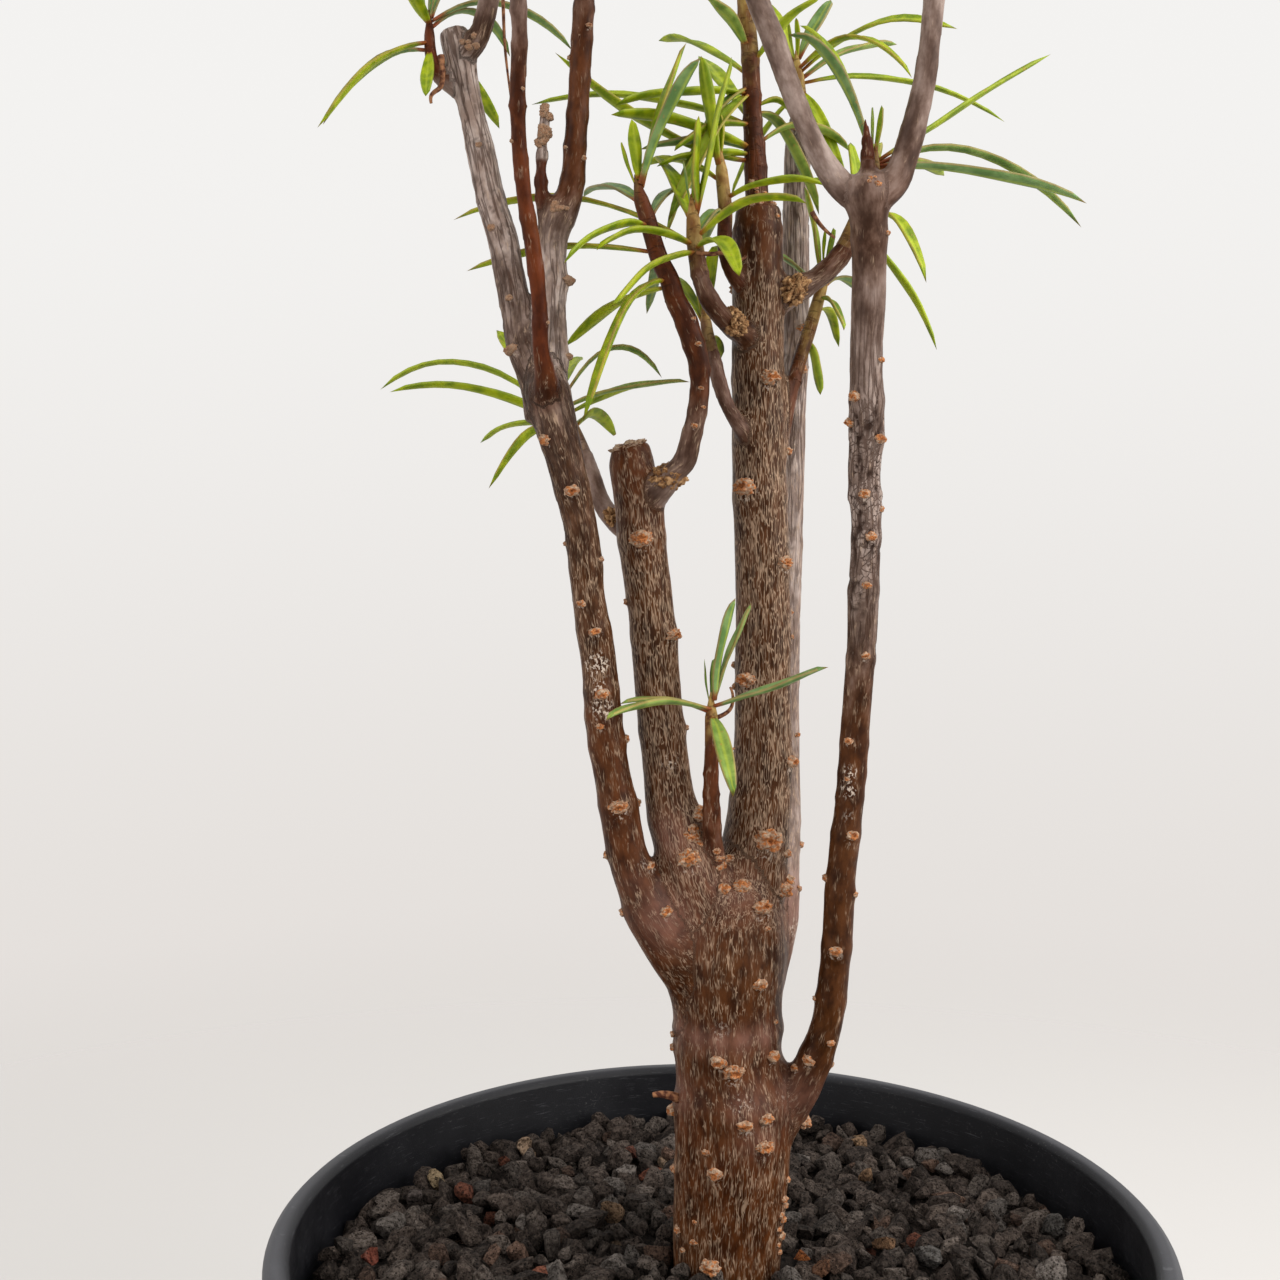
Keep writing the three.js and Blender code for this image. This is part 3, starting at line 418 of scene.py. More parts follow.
def store(mesh, name, values, kind):
    """Keeps one value per point: FLOAT, FLOAT_VECTOR or FLOAT_COLOR."""
    layer = mesh.attributes.new(name, kind, "POINT")
    key = {"FLOAT": "value", "FLOAT_VECTOR": "vector", "FLOAT_COLOR": "color"}[kind]
    layer.data.foreach_set(key, np.ascontiguousarray(values, dtype=np.float32).ravel())


class Guides:
    """Close-set places on some stems, each with its directions round and along."""

    def __init__(self, chosen, spacing=0.8):
        rows, self.starts, self.orders = [], [], [stem.order for stem in chosen]
        for stem in chosen:
            self.starts.append(len(rows))
            side = np.array([1.0, 0, 0])
            for mark in np.arange(0, stem.length + spacing, spacing):
                mark = min(mark, stem.length)
                along = stem.heading(mark)
                side = side - along * side.dot(along)
                side /= np.linalg.norm(side)
                rows.append([*stem.at(mark), stem.radius(mark), *side, *np.cross(along, side),
                             *along, mark, stem.order])
        self.rows = np.array(rows)

    def survey(self, points, chunk=8000):
        """Each point's row, its runner-up stem, and that one's distance and radius."""
        places, radii = self.rows[:, :3], self.rows[:, 3]
        squares, orders = (places ** 2).sum(axis=1), np.array(self.orders)
        found, second, far, wide = [], [], [], []
        for first in range(0, len(points), chunk):
            part = points[first:first + chunk]
            reach = (part ** 2).sum(axis=1)[:, None] - 2 * part @ places.T + squares
            reach = np.sqrt(np.maximum(reach, 0))
            plain = np.minimum.reduceat(reach, self.starts, axis=1)
            reach /= radii
            found.append(reach.argmin(axis=1))
            stemwise = np.minimum.reduceat(reach, self.starts, axis=1)
            ranks = stemwise.argsort(axis=1)
            runner = ranks[:, min(1, len(orders) - 1)]
            second.append(orders[runner])
            ratio = np.take_along_axis(stemwise, runner[:, None], axis=1)[:, 0]
            far.append(np.take_along_axis(plain, runner[:, None], axis=1)[:, 0])
            wide.append(far[-1] / np.maximum(ratio, 0.01))
        return (self.rows[np.concatenate(found)], np.concatenate(second),
                np.concatenate(far), np.concatenate(wide))


STEM_SHIFT = 41.0


def grain_of(points, rows):
    """How far each point is across, round and along its own stem. Each stem is shifted to
    a part of the noise of its own."""
    away = points - rows[:, :3]
    across = [(away * rows[:, i:i + 3]).sum(axis=1) for i in (4, 7, 10)]
    shift = rows[:, 14] * STEM_SHIFT
    return np.column_stack([across[0] + shift, across[1], across[2] + rows[:, 13]])


points = read_points(bark.data)
rows, second, far, wide = Guides(stems.values()).survey(points)
gap = far / wide
owner = rows[:, 14]
NEAR_FORK = 1.3
print(int((gap < NEAR_FORK).sum()), "points of", len(points), "are near a fork")

# %% Fill the creases of the forks
FILL_ROUNDS = 9
FILL_STEPS = 20
FORK_FROM, FORK_TO = 0.3, 1.2


def smoothed(thing, steps):
    """The points of a mesh after some smoothing, with the mesh left as it is."""
    ease = thing.modifiers.new("ease", "SMOOTH")
    ease.factor, ease.iterations = 0.5, steps
    copy = thing.evaluated_get(bpy.context.evaluated_depsgraph_get()).to_mesh()
    eased = read_points(copy)
    thing.modifiers.clear()
    return eased


clear = (far - wide) / np.minimum(wide, rows[:, 3])
at_fork = np.clip((FORK_TO - clear) / (FORK_TO - FORK_FROM), 0, 1)
for _ in range(FILL_ROUNDS):
    normals = read_normals(bark.data)
    out = ((smoothed(bark, FILL_STEPS) - points) * normals).sum(axis=1)
    points = points + normals * (np.maximum(out, 0) * at_fork)[:, None]
    write_points(bark.data, points)
grain = grain_of(points, rows)
print("grain runs from", grain.min(axis=0).round(), "to", grain.max(axis=0).round())

# %% [markdown]
# ## How old the bark is, and where
# Young bark is smooth and red-brown, older bark turns grey and cracks lengthwise, and the
# trunk is brown under a net of fine silver flecks. Purple skin shows at the forks. Each
# stem has a short list of (height, grey, red, flecks, cracks), read off one by one, and the
# numbers between two heights are blended. The material later mixes its colours by them.

# %% Write down the age of the bark
AGES = {
    "trunk": [(84, 0, .3, .5, 0), (118, 0, .25, .55, 0), (134, 0, .35, .6, 0),
              (150, 0, .3, .4, 0), (168, 0, .15, .4, 0), (182, .1, .3, .7, 0)],
    "main": [(174, .05, .2, .8, 0), (200, .12, .1, 1, 0), (240, .15, .1, 1, 0),
             (281, .1, .1, .9, 0), (287, 0, .25, .4, 0), (298, 0, .4, .25, .1)],
    "left": [(162, 0, .35, .55, 0), (178, 0, .3, .35, 0), (200, 0, .3, .3, 0),
             (212, .05, .3, .5, 0), (220, .15, .1, .6, .1), (235, .15, .05, .6, .3),
             (250, .2, 0, .5, .8), (268, .35, 0, .4, 1.2)],
    "stump": [(174, .05, .4, .7, 0), (195, .1, .15, 1, 0), (230, .12, .1, 1, 0),
              (245, .05, .25, .7, 0), (257, .05, .4, .35, 0)],
    "back": [(162, .25, .6, .5, 0), (180, .45, .3, .6, .3), (250, .75, 0, .5, .7),
             (317, .95, 0, .3, 1)],
    "right": [(137, .05, .35, .6, 0), (150, 0, .15, .25, 0), (190, 0, .15, .15, 0),
              (205, .1, .2, .3, 0), (220, .25, .1, .35, .2), (230, .4, 0, .25, 1.3),
              (240, .55, 0, .2, 2), (258, .6, 0, .2, 2), (264, .5, .1, .15, .8),
              (284, .28, .15, .1, .1), (294, .35, .2, .1, 0)],
    "right_arm_left": [(290, .4, .2, .1, 0), (297, .5, .15, .05, 0), (305, .42, .1, 0, 0),
                       (330, .44, .1, 0, 0)],
    "right_arm_right": [(290, .3, .25, .1, 0), (298, .36, .2, .05, 0), (330, .45, .15, 0, 0)],
    "fork_shoot": [(290, .3, .5, .2, .2), (297, .1, .9, .1, 0)],
    "fork_bud": [(290, .3, .5, .2, .2), (296, 0, 1, .1, .3), (303, 0, .9, .1, .4)],
    "far_left": [(260, .3, 0, .4, .8), (285, .45, 0, .2, 1), (300, .9, 0, .05, 1),
                 (325, 1, 0, 0, .9)],
    "far_left_side": [(319, .35, .1, .3, .8), (323, .3, .2, .4, .8), (327, .4, .35, .2, .1),
                      (336, .35, .4, .1, 0)],
    "far_left_shoot": [(314, .6, .2, .1, .3), (317, .1, .9, .1, 0)],
    "left_centre": [(264, .6, 0, .4, 1), (280, .75, 0, .3, .9), (291, .4, .15, .4, .5),
                    (297, .15, .3, .15, 0), (315, .1, .35, .05, 0), (330, .3, .3, 0, 0),
                    (345, .5, .25, 0, 0)],
    "front_left": [(263, .2, .5, .3, .2), (270, 0, .9, .05, 0), (290, 0, .85, .05, 0),
                   (305, .15, .55, .05, 0), (318, .4, .35, 0, 0), (330, .45, .3, 0, 0)],
    "dead_spur": [(290, .4, .4, .2, .3), (298, .05, .9, .1, .3), (301, .1, .8, .1, .4),
                  (302, .95, 0, .2, .9), (310, 1, 0, .3, .8)],
    "hidden_left": [(240, .3, .3, .2, .2), (246, .4, .4, .1, 0), (268, .3, .5, .05, 0)],
    "stump_shoot": [(247, .4, .2, .3, .3), (262, .25, .3, .2, .1), (268, 0, .6, .1, .1),
                    (275, 0, .7, .1, .1), (300, 0, .7, .05, 0)],
    "centre_left": [(274, .2, .2, .2, .4), (280, .25, .35, .2, .2), (296, .1, .5, .1, .1)],
    "centre_low": [(258, .3, .4, .3, .2), (281, .3, .5, .2, 0)],
    "centre_back": [(282, .2, .6, .2, .3), (306, .15, .7, .1, .1)],
    "main_tip": [(295, 0, .7, .2, .5), (352, 0, .7, .1, 0)],
    "back_side": [(305, .6, .2, .2, .4), (326, .2, .7, .1, 0)],
    "right_side": [(281, .4, .1, .3, .4), (287, .25, .4, .45, .3), (299, .1, .7, .1, .1)],
    "right_low": [(251, .2, .5, .2, .3), (289, .1, .7, .2, .2)],
    "crotch_shoot": [(184, .2, .5, .3, .2), (216, .1, .75, .2, .1)],
}

# %% Read the age at every point


def ages_of(points, owner):
    """Columns: grey, red, flecks, cracks."""
    ages = np.zeros((len(points), 4))
    for stem in stems.values():
        mine = owner == stem.order
        table = np.array(AGES[stem.name])
        for i in range(4):
            ages[mine, i] = np.interp(points[mine, 2], table[:, 0], table[:, i + 1])
    return ages


FADE = 0.35

share = 0.5 * (1 - np.clip((gap - 1) / FADE, 0, 1))[:, None]
ages = ages_of(points, owner) * (1 - share) + ages_of(points, second) * share
print("mean grey, red, flecks and cracks:", ages.mean(axis=0).round(2))

# %% Mark the purple skin at the forks and the chalky rings
PURPLE = [
    (-9, -5, 177.7, 5.5, 0.9), (2.6, -6, 183.6, 5, 0.8), (14.1, 8, 177.4, 6, 1),
    (15, 11, 171, 5, 0.8), (-8.5, -4, 191.8, 4, 0.8), (-4, -4, 187, 4, 0.5),
    (14.2, 0, 146, 5, 0.8), (-6.7, 0, 146, 3.5, 0.7), (6, -6, 146, 4, 0.5),
    (-4, -4, 156.8, 2.2, 0.9), (0, -5.3, 156.8, 2.2, 0.9), (4, -5.3, 157, 2.2, 0.9),
    (8, -3.5, 157.3, 2.4, 0.9), (-6.8, -1, 157, 2.2, 0.8), (4, -6, 146, 3, 0.6),
    (-14, -4, 184, 3, 0.5), (9, 12, 160, 6, 0.6), (-4, 9, 184, 5, 0.7), (7, -6, 141, 4, 0.5),
]
CHALK = [
    (-20.3, -9, 220.6, 2.2, 1), (-19.5, -9, 213.5, 2, 1), (-20, -9, 217, 1.6, 0.8),
    (20.2, -12, 200.7, 1.6, 0.9), (20.5, -12, 203.5, 1.4, 0.8), (20.4, -12, 196, 1.4, 0.7),
    (6.7, -6, 180.4, 2.5, 0.7), (12, -4, 146, 3, 0.5), (4, -6.5, 146.5, 2.5, 0.5),
    (-13.5, -4, 186.5, 2, 0.6), (-8, -4, 204, 2, 0.5), (20.3, -14, 243, 1.6, 0.5),
    (21.5, -13.5, 223, 1.6, 0.6), (0, -6, 159, 2, 0.5), (22, -24, 279, 2, 0.4),
    (13, 7, 173, 3, 0.6),
]


def painted(points, spots):
    """How strongly each point is covered by soft round spots, from 0 to 1."""
    cover = np.zeros(len(points))
    for x, y, z, reach, strength in spots:
        away = ((points - (x, y, z)) ** 2).sum(axis=1)
        cover = np.maximum(cover, strength * np.exp(-away / reach ** 2))
    return cover


purple = painted(points, PURPLE)
chalk = painted(points, CHALK)
print("purple on", int((purple > 0.3).sum()), "points, chalk on", int((chalk > 0.3).sum()))

# %% Give the skin its ridges and cracks
UNDULATION = 0.16
RIDGE = 0.09
CRACK, CRACK_WIDTH = 0.17, 0.16


def relief_of(grain, ages):
    """How far each point stands out, in millimetres, and how deep in a crack it is."""
    height, crack = np.zeros(len(grain)), np.zeros(len(grain))
    for i, (u, v, w) in enumerate(grain):
        wander = noise.noise((u * 0.3, v * 0.3, w * 0.16)) * 1.2
        ridge = 1 - abs(noise.noise((u * 0.85 + wander, v * 0.85, w * 0.2)))
        line = abs(noise.noise((u * 0.75 - wander, v * 0.75, w * 0.11 + 7)))
        crack[i] = ages[i, 3] * max(0.0, 1 - line / CRACK_WIDTH)
        height[i] = (UNDULATION * noise.noise((u * 0.13, v * 0.13, w * 0.1))
                     + RIDGE * ages[i, 2] * (ridge - 0.8) - CRACK * crack[i])
    return height, crack


height, crack = relief_of(grain, ages)
normals = read_normals(bark.data)
write_points(bark.data, points + normals * height[:, None])
store(bark.data, "grain", grain, "FLOAT_VECTOR")
print("the relief goes from", height.min().round(2), "to", height.max().round(2), "mm")

# %% [markdown]
# ## Corky scars
# Where a leaf or a shoot fell off, the plant leaves a crumbly corky knob with a sunken
# middle. A knob is a small ball, flattened, pushed in at the middle and roughened by noise.
# Each one is placed by its height and its angle round the stem, then dropped onto the skin
# along a ray, so that it sits on the real surface and not on the ideal tube.

# %% List the scars as height, angle from the front and half width
SCARS = {
    "trunk": [(166.5, 30, 1.5), (182.5, 12, 1.7), (181, 75, 1.9), (184, 88, 1.7), (179, 35, 2.1),
              (182.5, -14, 1.4), (153.5, -12, 1.6), (151.8, 3, 1.9), (153.5, 50, 1.6),
              (151, 66, 0.9), (153, -90, 1), (155.5, -86, 0.9), (143, 8, 1.7),
              (143.5, 30, 1.5), (139, 27, 1.8), (140, 88, 1.7), (138, -30, 0.8),
              (134.5, -20, 1.5), (142, -88, 1.6), (122, -65, 1.1), (125, -40, 0.6),
              (118, -20, 1.8), (116.3, -16, 1.5), (127.5, 62, 1), (126.2, 70, 0.9),
              (125, 60, 0.8), (123.8, 66, 1), (122.4, 58, 0.8), (121, 66, 1.1),
              (119.6, 60, 0.7), (117.7, 66, 0.8), (131.5, -84, 1), (121.3, -40, 0.9),
              (119.2, -55, 0.7), (131, 68, 0.8), (159, 55, 0.6), (175.5, 40, 0.7),
              (150, 78, 1.2), (147.5, 72, 1), (126, 195, 1.5), (141, 135, 1.6), (144, 235, 1.5),
              (153, 170, 1.7), (165, 205, 1.6), (131, 160, 0.9), (137, 215, 1),
              (157, 130, 1.1), (172, 180, 1.5), (177, 150, 1.2)],
    "main": [(249.5, -35, 2.3), (236.5, 45, 1.8), (268, 20, 2), (216.5, -40, 1.8),
             (203, 60, 1.7), (190, 15, 2.5), (260.5, -70, 0.7), (255.5, 88, 1.2),
             (201, -70, 0.8), (215, -88, 0.8), (223.5, 80, 0.7), (187, 62, 1.2),
             (208, 170, 1.8), (228, 130, 1.8), (246, 205, 1.8), (266, 150, 1.8),
             (284, 225, 1.6), (219, 250, 1), (239, 165, 1), (257, 120, 0.9), (276, 190, 1.1),
             (197, 220, 1.4), (290, 140, 1.2)],
    "left": [(256.5, -40, 1.2), (248.5, 0, 1.3), (230.5, -25, 0.9), (226, 5, 1.2),
             (215.5, 5, 1.4), (210.2, -10, 0.8), (197, 5, 1.8), (207.5, 85, 0.9),
             (188, -88, 0.9), (186.5, 65, 1.2), (178, -88, 1), (240, -88, 0.7),
             (237.5, 65, 0.7), (179, 40, 1.2), (205, 190, 1.3), (236, 165, 1.3),
             (193, 160, 1), (218, 220, 1), (247, 200, 0.9), (182, 210, 1)],
    "stump": [(241, 0, 1.9), (225, 50, 1.7), (230, -80, 0.7), (194.5, 70, 2), (188, 10, 2.1),
              (192.5, 40, 1.2), (209, 88, 0.7), (196.5, -75, 1.3), (208, 190, 1.6),
              (232, 160, 1.6), (218, 230, 1), (246, 200, 1), (197, 150, 1.2)],
    "back": [(271, 15, 1.4), (278.5, 25, 1.3), (205.5, 50, 0.7), (212, 190, 1.2),
             (244, 170, 1.2), (179.5, 60, 0.9), (190, 150, 1), (226, 210, 0.9), (262, 200, 1),
             (290, 160, 1), (186, 85, 0.9)],
    "right": [(173, -10, 1.3), (193, 15, 1.2), (208.5, -30, 0.8), (222.5, 10, 0.9),
              (233.5, 0, 0.9), (245.5, 60, 0.7), (256, 35, 1.1), (258.5, -80, 1.3),
              (267.5, 50, 0.8), (153, -30, 1.2), (156.5, 20, 0.9), (182.5, 60, 0.8),
              (185, -85, 0.9), (241, 10, 1), (247.5, -10, 1.1), (202, -25, 0.6),
              (163.5, -85, 0.7), (285.5, 60, 0.7), (262, -50, 1), (181, 190, 1.1),
              (222, 170, 1.1), (169, 150, 0.9), (201, 200, 0.9), (240, 190, 1), (264, 180, 1),
              (151, 100, 1)],
    "far_left": [(271, -45, 1.3), (291, -30, 0.8), (304.5, 0, 0.6), (279.5, -15, 0.7),
                 (296, 170, 1.1), (282, 150, 0.8), (311, 190, 0.8)],
    "left_centre": [(270, 80, 1.1), (282, 70, 1.4), (279.5, -50, 0.8), (303, -45, 0.6),
                    (317, -85, 0.6), (321.5, 35, 0.6), (301.5, 50, 0.6), (286, 170, 0.9),
                    (309, 190, 0.6)],
    "stump_shoot": [(265, 5, 0.5), (259, 0, 0.6), (262, 30, 0.5), (272, 15, 0.6),
                    (276, 35, 0.5), (268, 180, 0.6)],
    "front_left": [(273.7, 60, 0.5), (299, -60, 0.5), (306, 40, 0.4)],
}
print(sum(len(s) for s in SCARS.values()), "scars")

# %% Find where each scar lands on the skin
RAY_MARGIN = 4
skin = BVHTree.FromPolygons([v.co / MM for v in bark.data.vertices],
                            [tuple(p.vertices) for p in bark.data.polygons])


def landing(stem, height, angle):
    """A place on the skin at that height and angle, and the direction straight out."""
    mark = stem.mark_at_height(height)
    turn = math.radians(angle)
    outward = Vector((math.sin(turn), -math.cos(turn), 0))
    centre, reach = Vector(stem.at(mark)), stem.radius(mark) + RAY_MARGIN
    hit, normal, _, _ = skin.ray_cast(centre + outward * reach, -outward, reach)
    if hit is None:
        hit, normal = centre + outward * stem.radius(mark), outward
    return hit, normal, Vector(stem.heading(mark))


landings = [(*landing(stems[name], height, angle), half)
            for name, scars in SCARS.items() for height, angle, half in scars]
print("the first scar lands at", [round(c, 1) for c in landings[0][0]])

# %% Swell the skin under the scars
SWELL, SWELL_REACH = 0.28, 1.5
SKIRT_DROP, SKIRT_REACH = 0.55, 1.1

points = read_points(bark.data)
lift, rim_chalk = np.zeros(len(points)), np.zeros(len(points))
for hit, normal, along, half in landings:
    away = points - np.array(hit)
    distance = (away ** 2).sum(axis=1)
    lift = np.maximum(lift, SWELL * half * np.exp(-distance / (SWELL_REACH * half) ** 2))
    below = away @ np.array(along)
    skirt = ((away + np.array(along) * half * SKIRT_DROP) ** 2).sum(axis=1)
    ring = 0.6 * np.exp(-skirt / (SKIRT_REACH * half) ** 2) * (below < half)
    rim_chalk = np.maximum(rim_chalk, ring)
write_points(bark.data, points + read_normals(bark.data) * lift[:, None])
chalk = np.maximum(chalk, rim_chalk * 0.8)
store(bark.data, "tone", np.column_stack([ages[:, :3], np.ones(len(ages))]), "FLOAT_COLOR")
store(bark.data, "marks", np.column_stack([purple, chalk, crack, ages[:, 3]]), "FLOAT_COLOR")
print("swollen under", len(landings), "scars")

# %% Put many small shapes into one object
BATCH = 40


def gather(name, jobs, kind, layer):
    """Runs every job in a small bmesh of its own batch, because a new ball slows down with
    the size of the mesh it is added to. A job is a function and what it is called with, and
    it fills one layer of values on its points."""
    whole = bmesh.new()
    getattr(whole.verts.layers, kind).new(layer)
    for first in range(0, len(jobs), BATCH):
        batch = bmesh.new()
        getattr(batch.verts.layers, kind).new(layer)
        for work, *given in jobs[first:first + BATCH]:
            work(batch, *given)
        bmesh.ops.recalc_face_normals(batch, faces=batch.faces)
        mesh = bpy.data.meshes.new("batch")
        batch.to_mesh(mesh)
        batch.free()
        whole.from_mesh(mesh)
        bpy.data.meshes.remove(mesh)
    return from_bmesh(name, whole)


print("up to", BATCH, "shapes are made at a time")

# %% Make the knobs
SCAR_SEED = 11
LARGE_SCAR = 1.5


def knob(bm, hit, normal, along, half, seed, flat, depth):
    """One corky knob on a skin, rough and sunken in the middle."""
    core = bm.verts.layers.float["core"]
    made = bmesh.ops.create_icosphere(bm, subdivisions=4 if half > LARGE_SCAR else 3, radius=1)
    side = along.cross(normal).normalized()
    rise = normal.cross(side)
    for vert in made["verts"]:
        d = vert.co.copy()
        coarse, middle = noise.noise(d * 1.6 + seed), noise.noise(d * 3.7 + seed)
        crumbs = abs(noise.noise(d * 6.5 + seed))
        rough = 0.28 * coarse + 0.24 * middle - 0.24 * crumbs
        centre = math.exp(-(d.x ** 2 + (d.z * 1.7) ** 2) / 0.2) if d.y > 0 else 0
        grow = 1.05 + rough
        out = d.y * depth * grow * (1 - 0.3 * centre)
        vert[core] = 0.62 * centre + 0.9 * crumbs + 0.25 * middle
        vert.co = (hit + side * d.x * half * grow + rise * d.z * half * flat * grow
                   + normal * half * out) * MM


def seeded(draw):
    return Vector((draw.uniform(-50, 50), draw.uniform(-50, 50), draw.uniform(-50, 50)))


draw = random.Random(SCAR_SEED)
knob_jobs = [(knob, hit, normal, along, half * draw.uniform(0.85, 1.0), seeded(draw),
              draw.uniform(0.62, 0.85), 1.1 if half > 1.2 else 0.95)
             for hit, normal, along, half in landings]
print(len(knob_jobs), "knobs to make")

# %% [markdown]
# ## Collars, crusts and dead bits
# A few spots are rougher than a scar: the crumbly collar where a spur sprouted from an old
# branch, the crust on the cut stump, the ragged rims of broken tips. They are heaps of the
# same corky knobs, drawn with a fixed seed, each heap inside its own small region.

# %% Heap up knobs where the bark is crusty
CRUSTS = [
    # place, normal, spread, knob size, count
    ((-26.3, -6.5, 293.5), (-0.1, -1, 0.2), 1.6, 0.6, 9),
    ((-40.8, -1.0, 321.0), (0.2, -1, 0.1), 1.6, 0.6, 10),
    ((7.0, 8.0, 298.6), (0, -0.3, 1), 2.8, 0.6, 20),
    ((15.6, 22.5, 316.5), (0, -0.6, 1), 1.3, 0.6, 12),
    ((20.5, -28.0, 292.0), (0, -1, 0.2), 2.0, 0.4, 6),
    ((0.5, -4.0, 187.5), (0, -1, 0.2), 2.0, 0.8, 9),
    ((-4.0, -4.2, 192.0), (0.3, -1, 0.2), 1.6, 0.9, 8),
    ((-28.7, -6.5, 304.5), (0, -1, 0), 2.0, 0.75, 24),
    ((-28.4, -6.8, 308.5), (0.3, -1, 0.3), 1.2, 0.7, 12),
]
RAY_START, RAY_LENGTH = 6, 14


def crust(place, normal, spread, size, count, draw):
    """Jobs for a heap of small knobs round a place on the skin."""
    facing = Vector(normal).normalized()
    for _ in range(count):
        shift = Vector((draw.gauss(0, 0.5), draw.gauss(0, 0.5), draw.gauss(0, 0.5))) * spread
        start = Vector(place) + shift + facing * RAY_START
        hit, out, _, _ = skin.ray_cast(start, -facing, RAY_LENGTH)
        if hit is not None:
            yield (knob, hit, out, Vector((0.1, 0.1, 1)), size * draw.uniform(0.5, 1.1),
                   seeded(draw), draw.uniform(0.7, 1), 0.8)


for region in CRUSTS:
    knob_jobs += crust(*region, draw)
scars = gather("scars", knob_jobs, "float", "core")
print("with the crusts they have", len(scars.data.polygons), "faces")

# %% Wrap flaky collars round the feet of the spurs
COLLARS = [
    # place, half sizes, how far it leans right
    ((-8.5, -3.6, 251.0), (3.1, 2.7, 2.7), 0.35),
    ((1.9, -2.0, 276.5), (2.5, 2.3, 2.3), -0.3),
    ((12.9, 7.6, 283.1), (2.6, 2.7, 2.7), 0.3),
    ((-17.4, 6.0, 244.3), (2.0, 2.2, 2.0), -0.3),
]


def collar(bm, place, sizes, lean, seed):
    """A thick flaky ring of old cork, split by deep cracks."""
    core = bm.verts.layers.float["core"]
    made = bmesh.ops.create_icosphere(bm, subdivisions=5, radius=1)
    for vert in made["verts"]:
        d = vert.co.copy()
        flake = abs(noise.noise(d * 2.2 + seed)) + 0.6 * abs(noise.noise(d * 5.1 + seed))
        crumbs = noise.noise(d * 8 + seed)
        grow = 0.8 + 0.42 * flake + 0.13 * crumbs
        vert[core] = 0.6 - 1.5 * flake + 0.4 * crumbs
        x, y, z = (c * s * grow for c, s in zip(d, sizes))
        vert.co = (Vector(place) + Vector((x + lean * z, y, z))) * MM


collar_jobs = [(collar, *given, seeded(draw)) for given in COLLARS]
collars = gather("collars", collar_jobs, "float", "core")
print("the collars have", len(collars.data.polygons), "faces")

# %% Lay the slanting crust on the stump
CAP_PLACE = (-15.2, 0.0, 256.3)
CAP_TILT = (-0.3, -0.12, 1)
CAP_RADIUS, CAP_DEPTH = 3.05, 3.0


def stump_crust(bm):
    core = bm.verts.layers.float["core"]
    up = Vector(CAP_TILT).normalized()
    turn = up.cross(Vector((0, 1, 0))).normalized()
    ahead = up.cross(turn)
    made = bmesh.ops.create_icosphere(bm, subdivisions=5, radius=1)
    for vert in made["verts"]:
        d = vert.co.copy()
        rough = 0.3 * noise.noise(d * 2.2) + 0.2 * noise.noise(d * 5.3)
        crumbs = abs(noise.noise(d * 9))
        vert[core] = -0.25 + rough + 0.5 * crumbs
        lip = 1 + rough * 0.7
        flat = turn * d.x * CAP_RADIUS * lip + ahead * d.y * CAP_DEPTH * lip
        rise = d.z * (0.75 if d.z > 0 else 0.5) + rough * 1.5 - 0.3 * crumbs
        vert.co = (Vector(CAP_PLACE) + flat + up * rise) * MM


stump_cap = gather("stump_cap", [(stump_crust,)], "float", "core")
print("the stump's crust is", round(max(stump_cap.dimensions) / MM, 1), "mm wide")

# %% [markdown]
# ## Short words for materials
# A material is a small network of nodes. The same few nodes come back in every finish:
# read a stored value, make a noise, stretch a part of it over a range, mix two colours, and
# raise a bump. The class below gives each of them one short word. Everything here reads
# stored values or object coordinates in metres, so no pattern slides when the view turns.

# %% Name the nodes


def tint(red, green, blue):
    """A colour given from 0 to 255, as a shader wants it."""
    parts = [c / 255 for c in (red, green, blue)]
    return (*(c / 12.92 if c < 0.04 else ((c + 0.055) / 1.055) ** 2.4 for c in parts), 1)


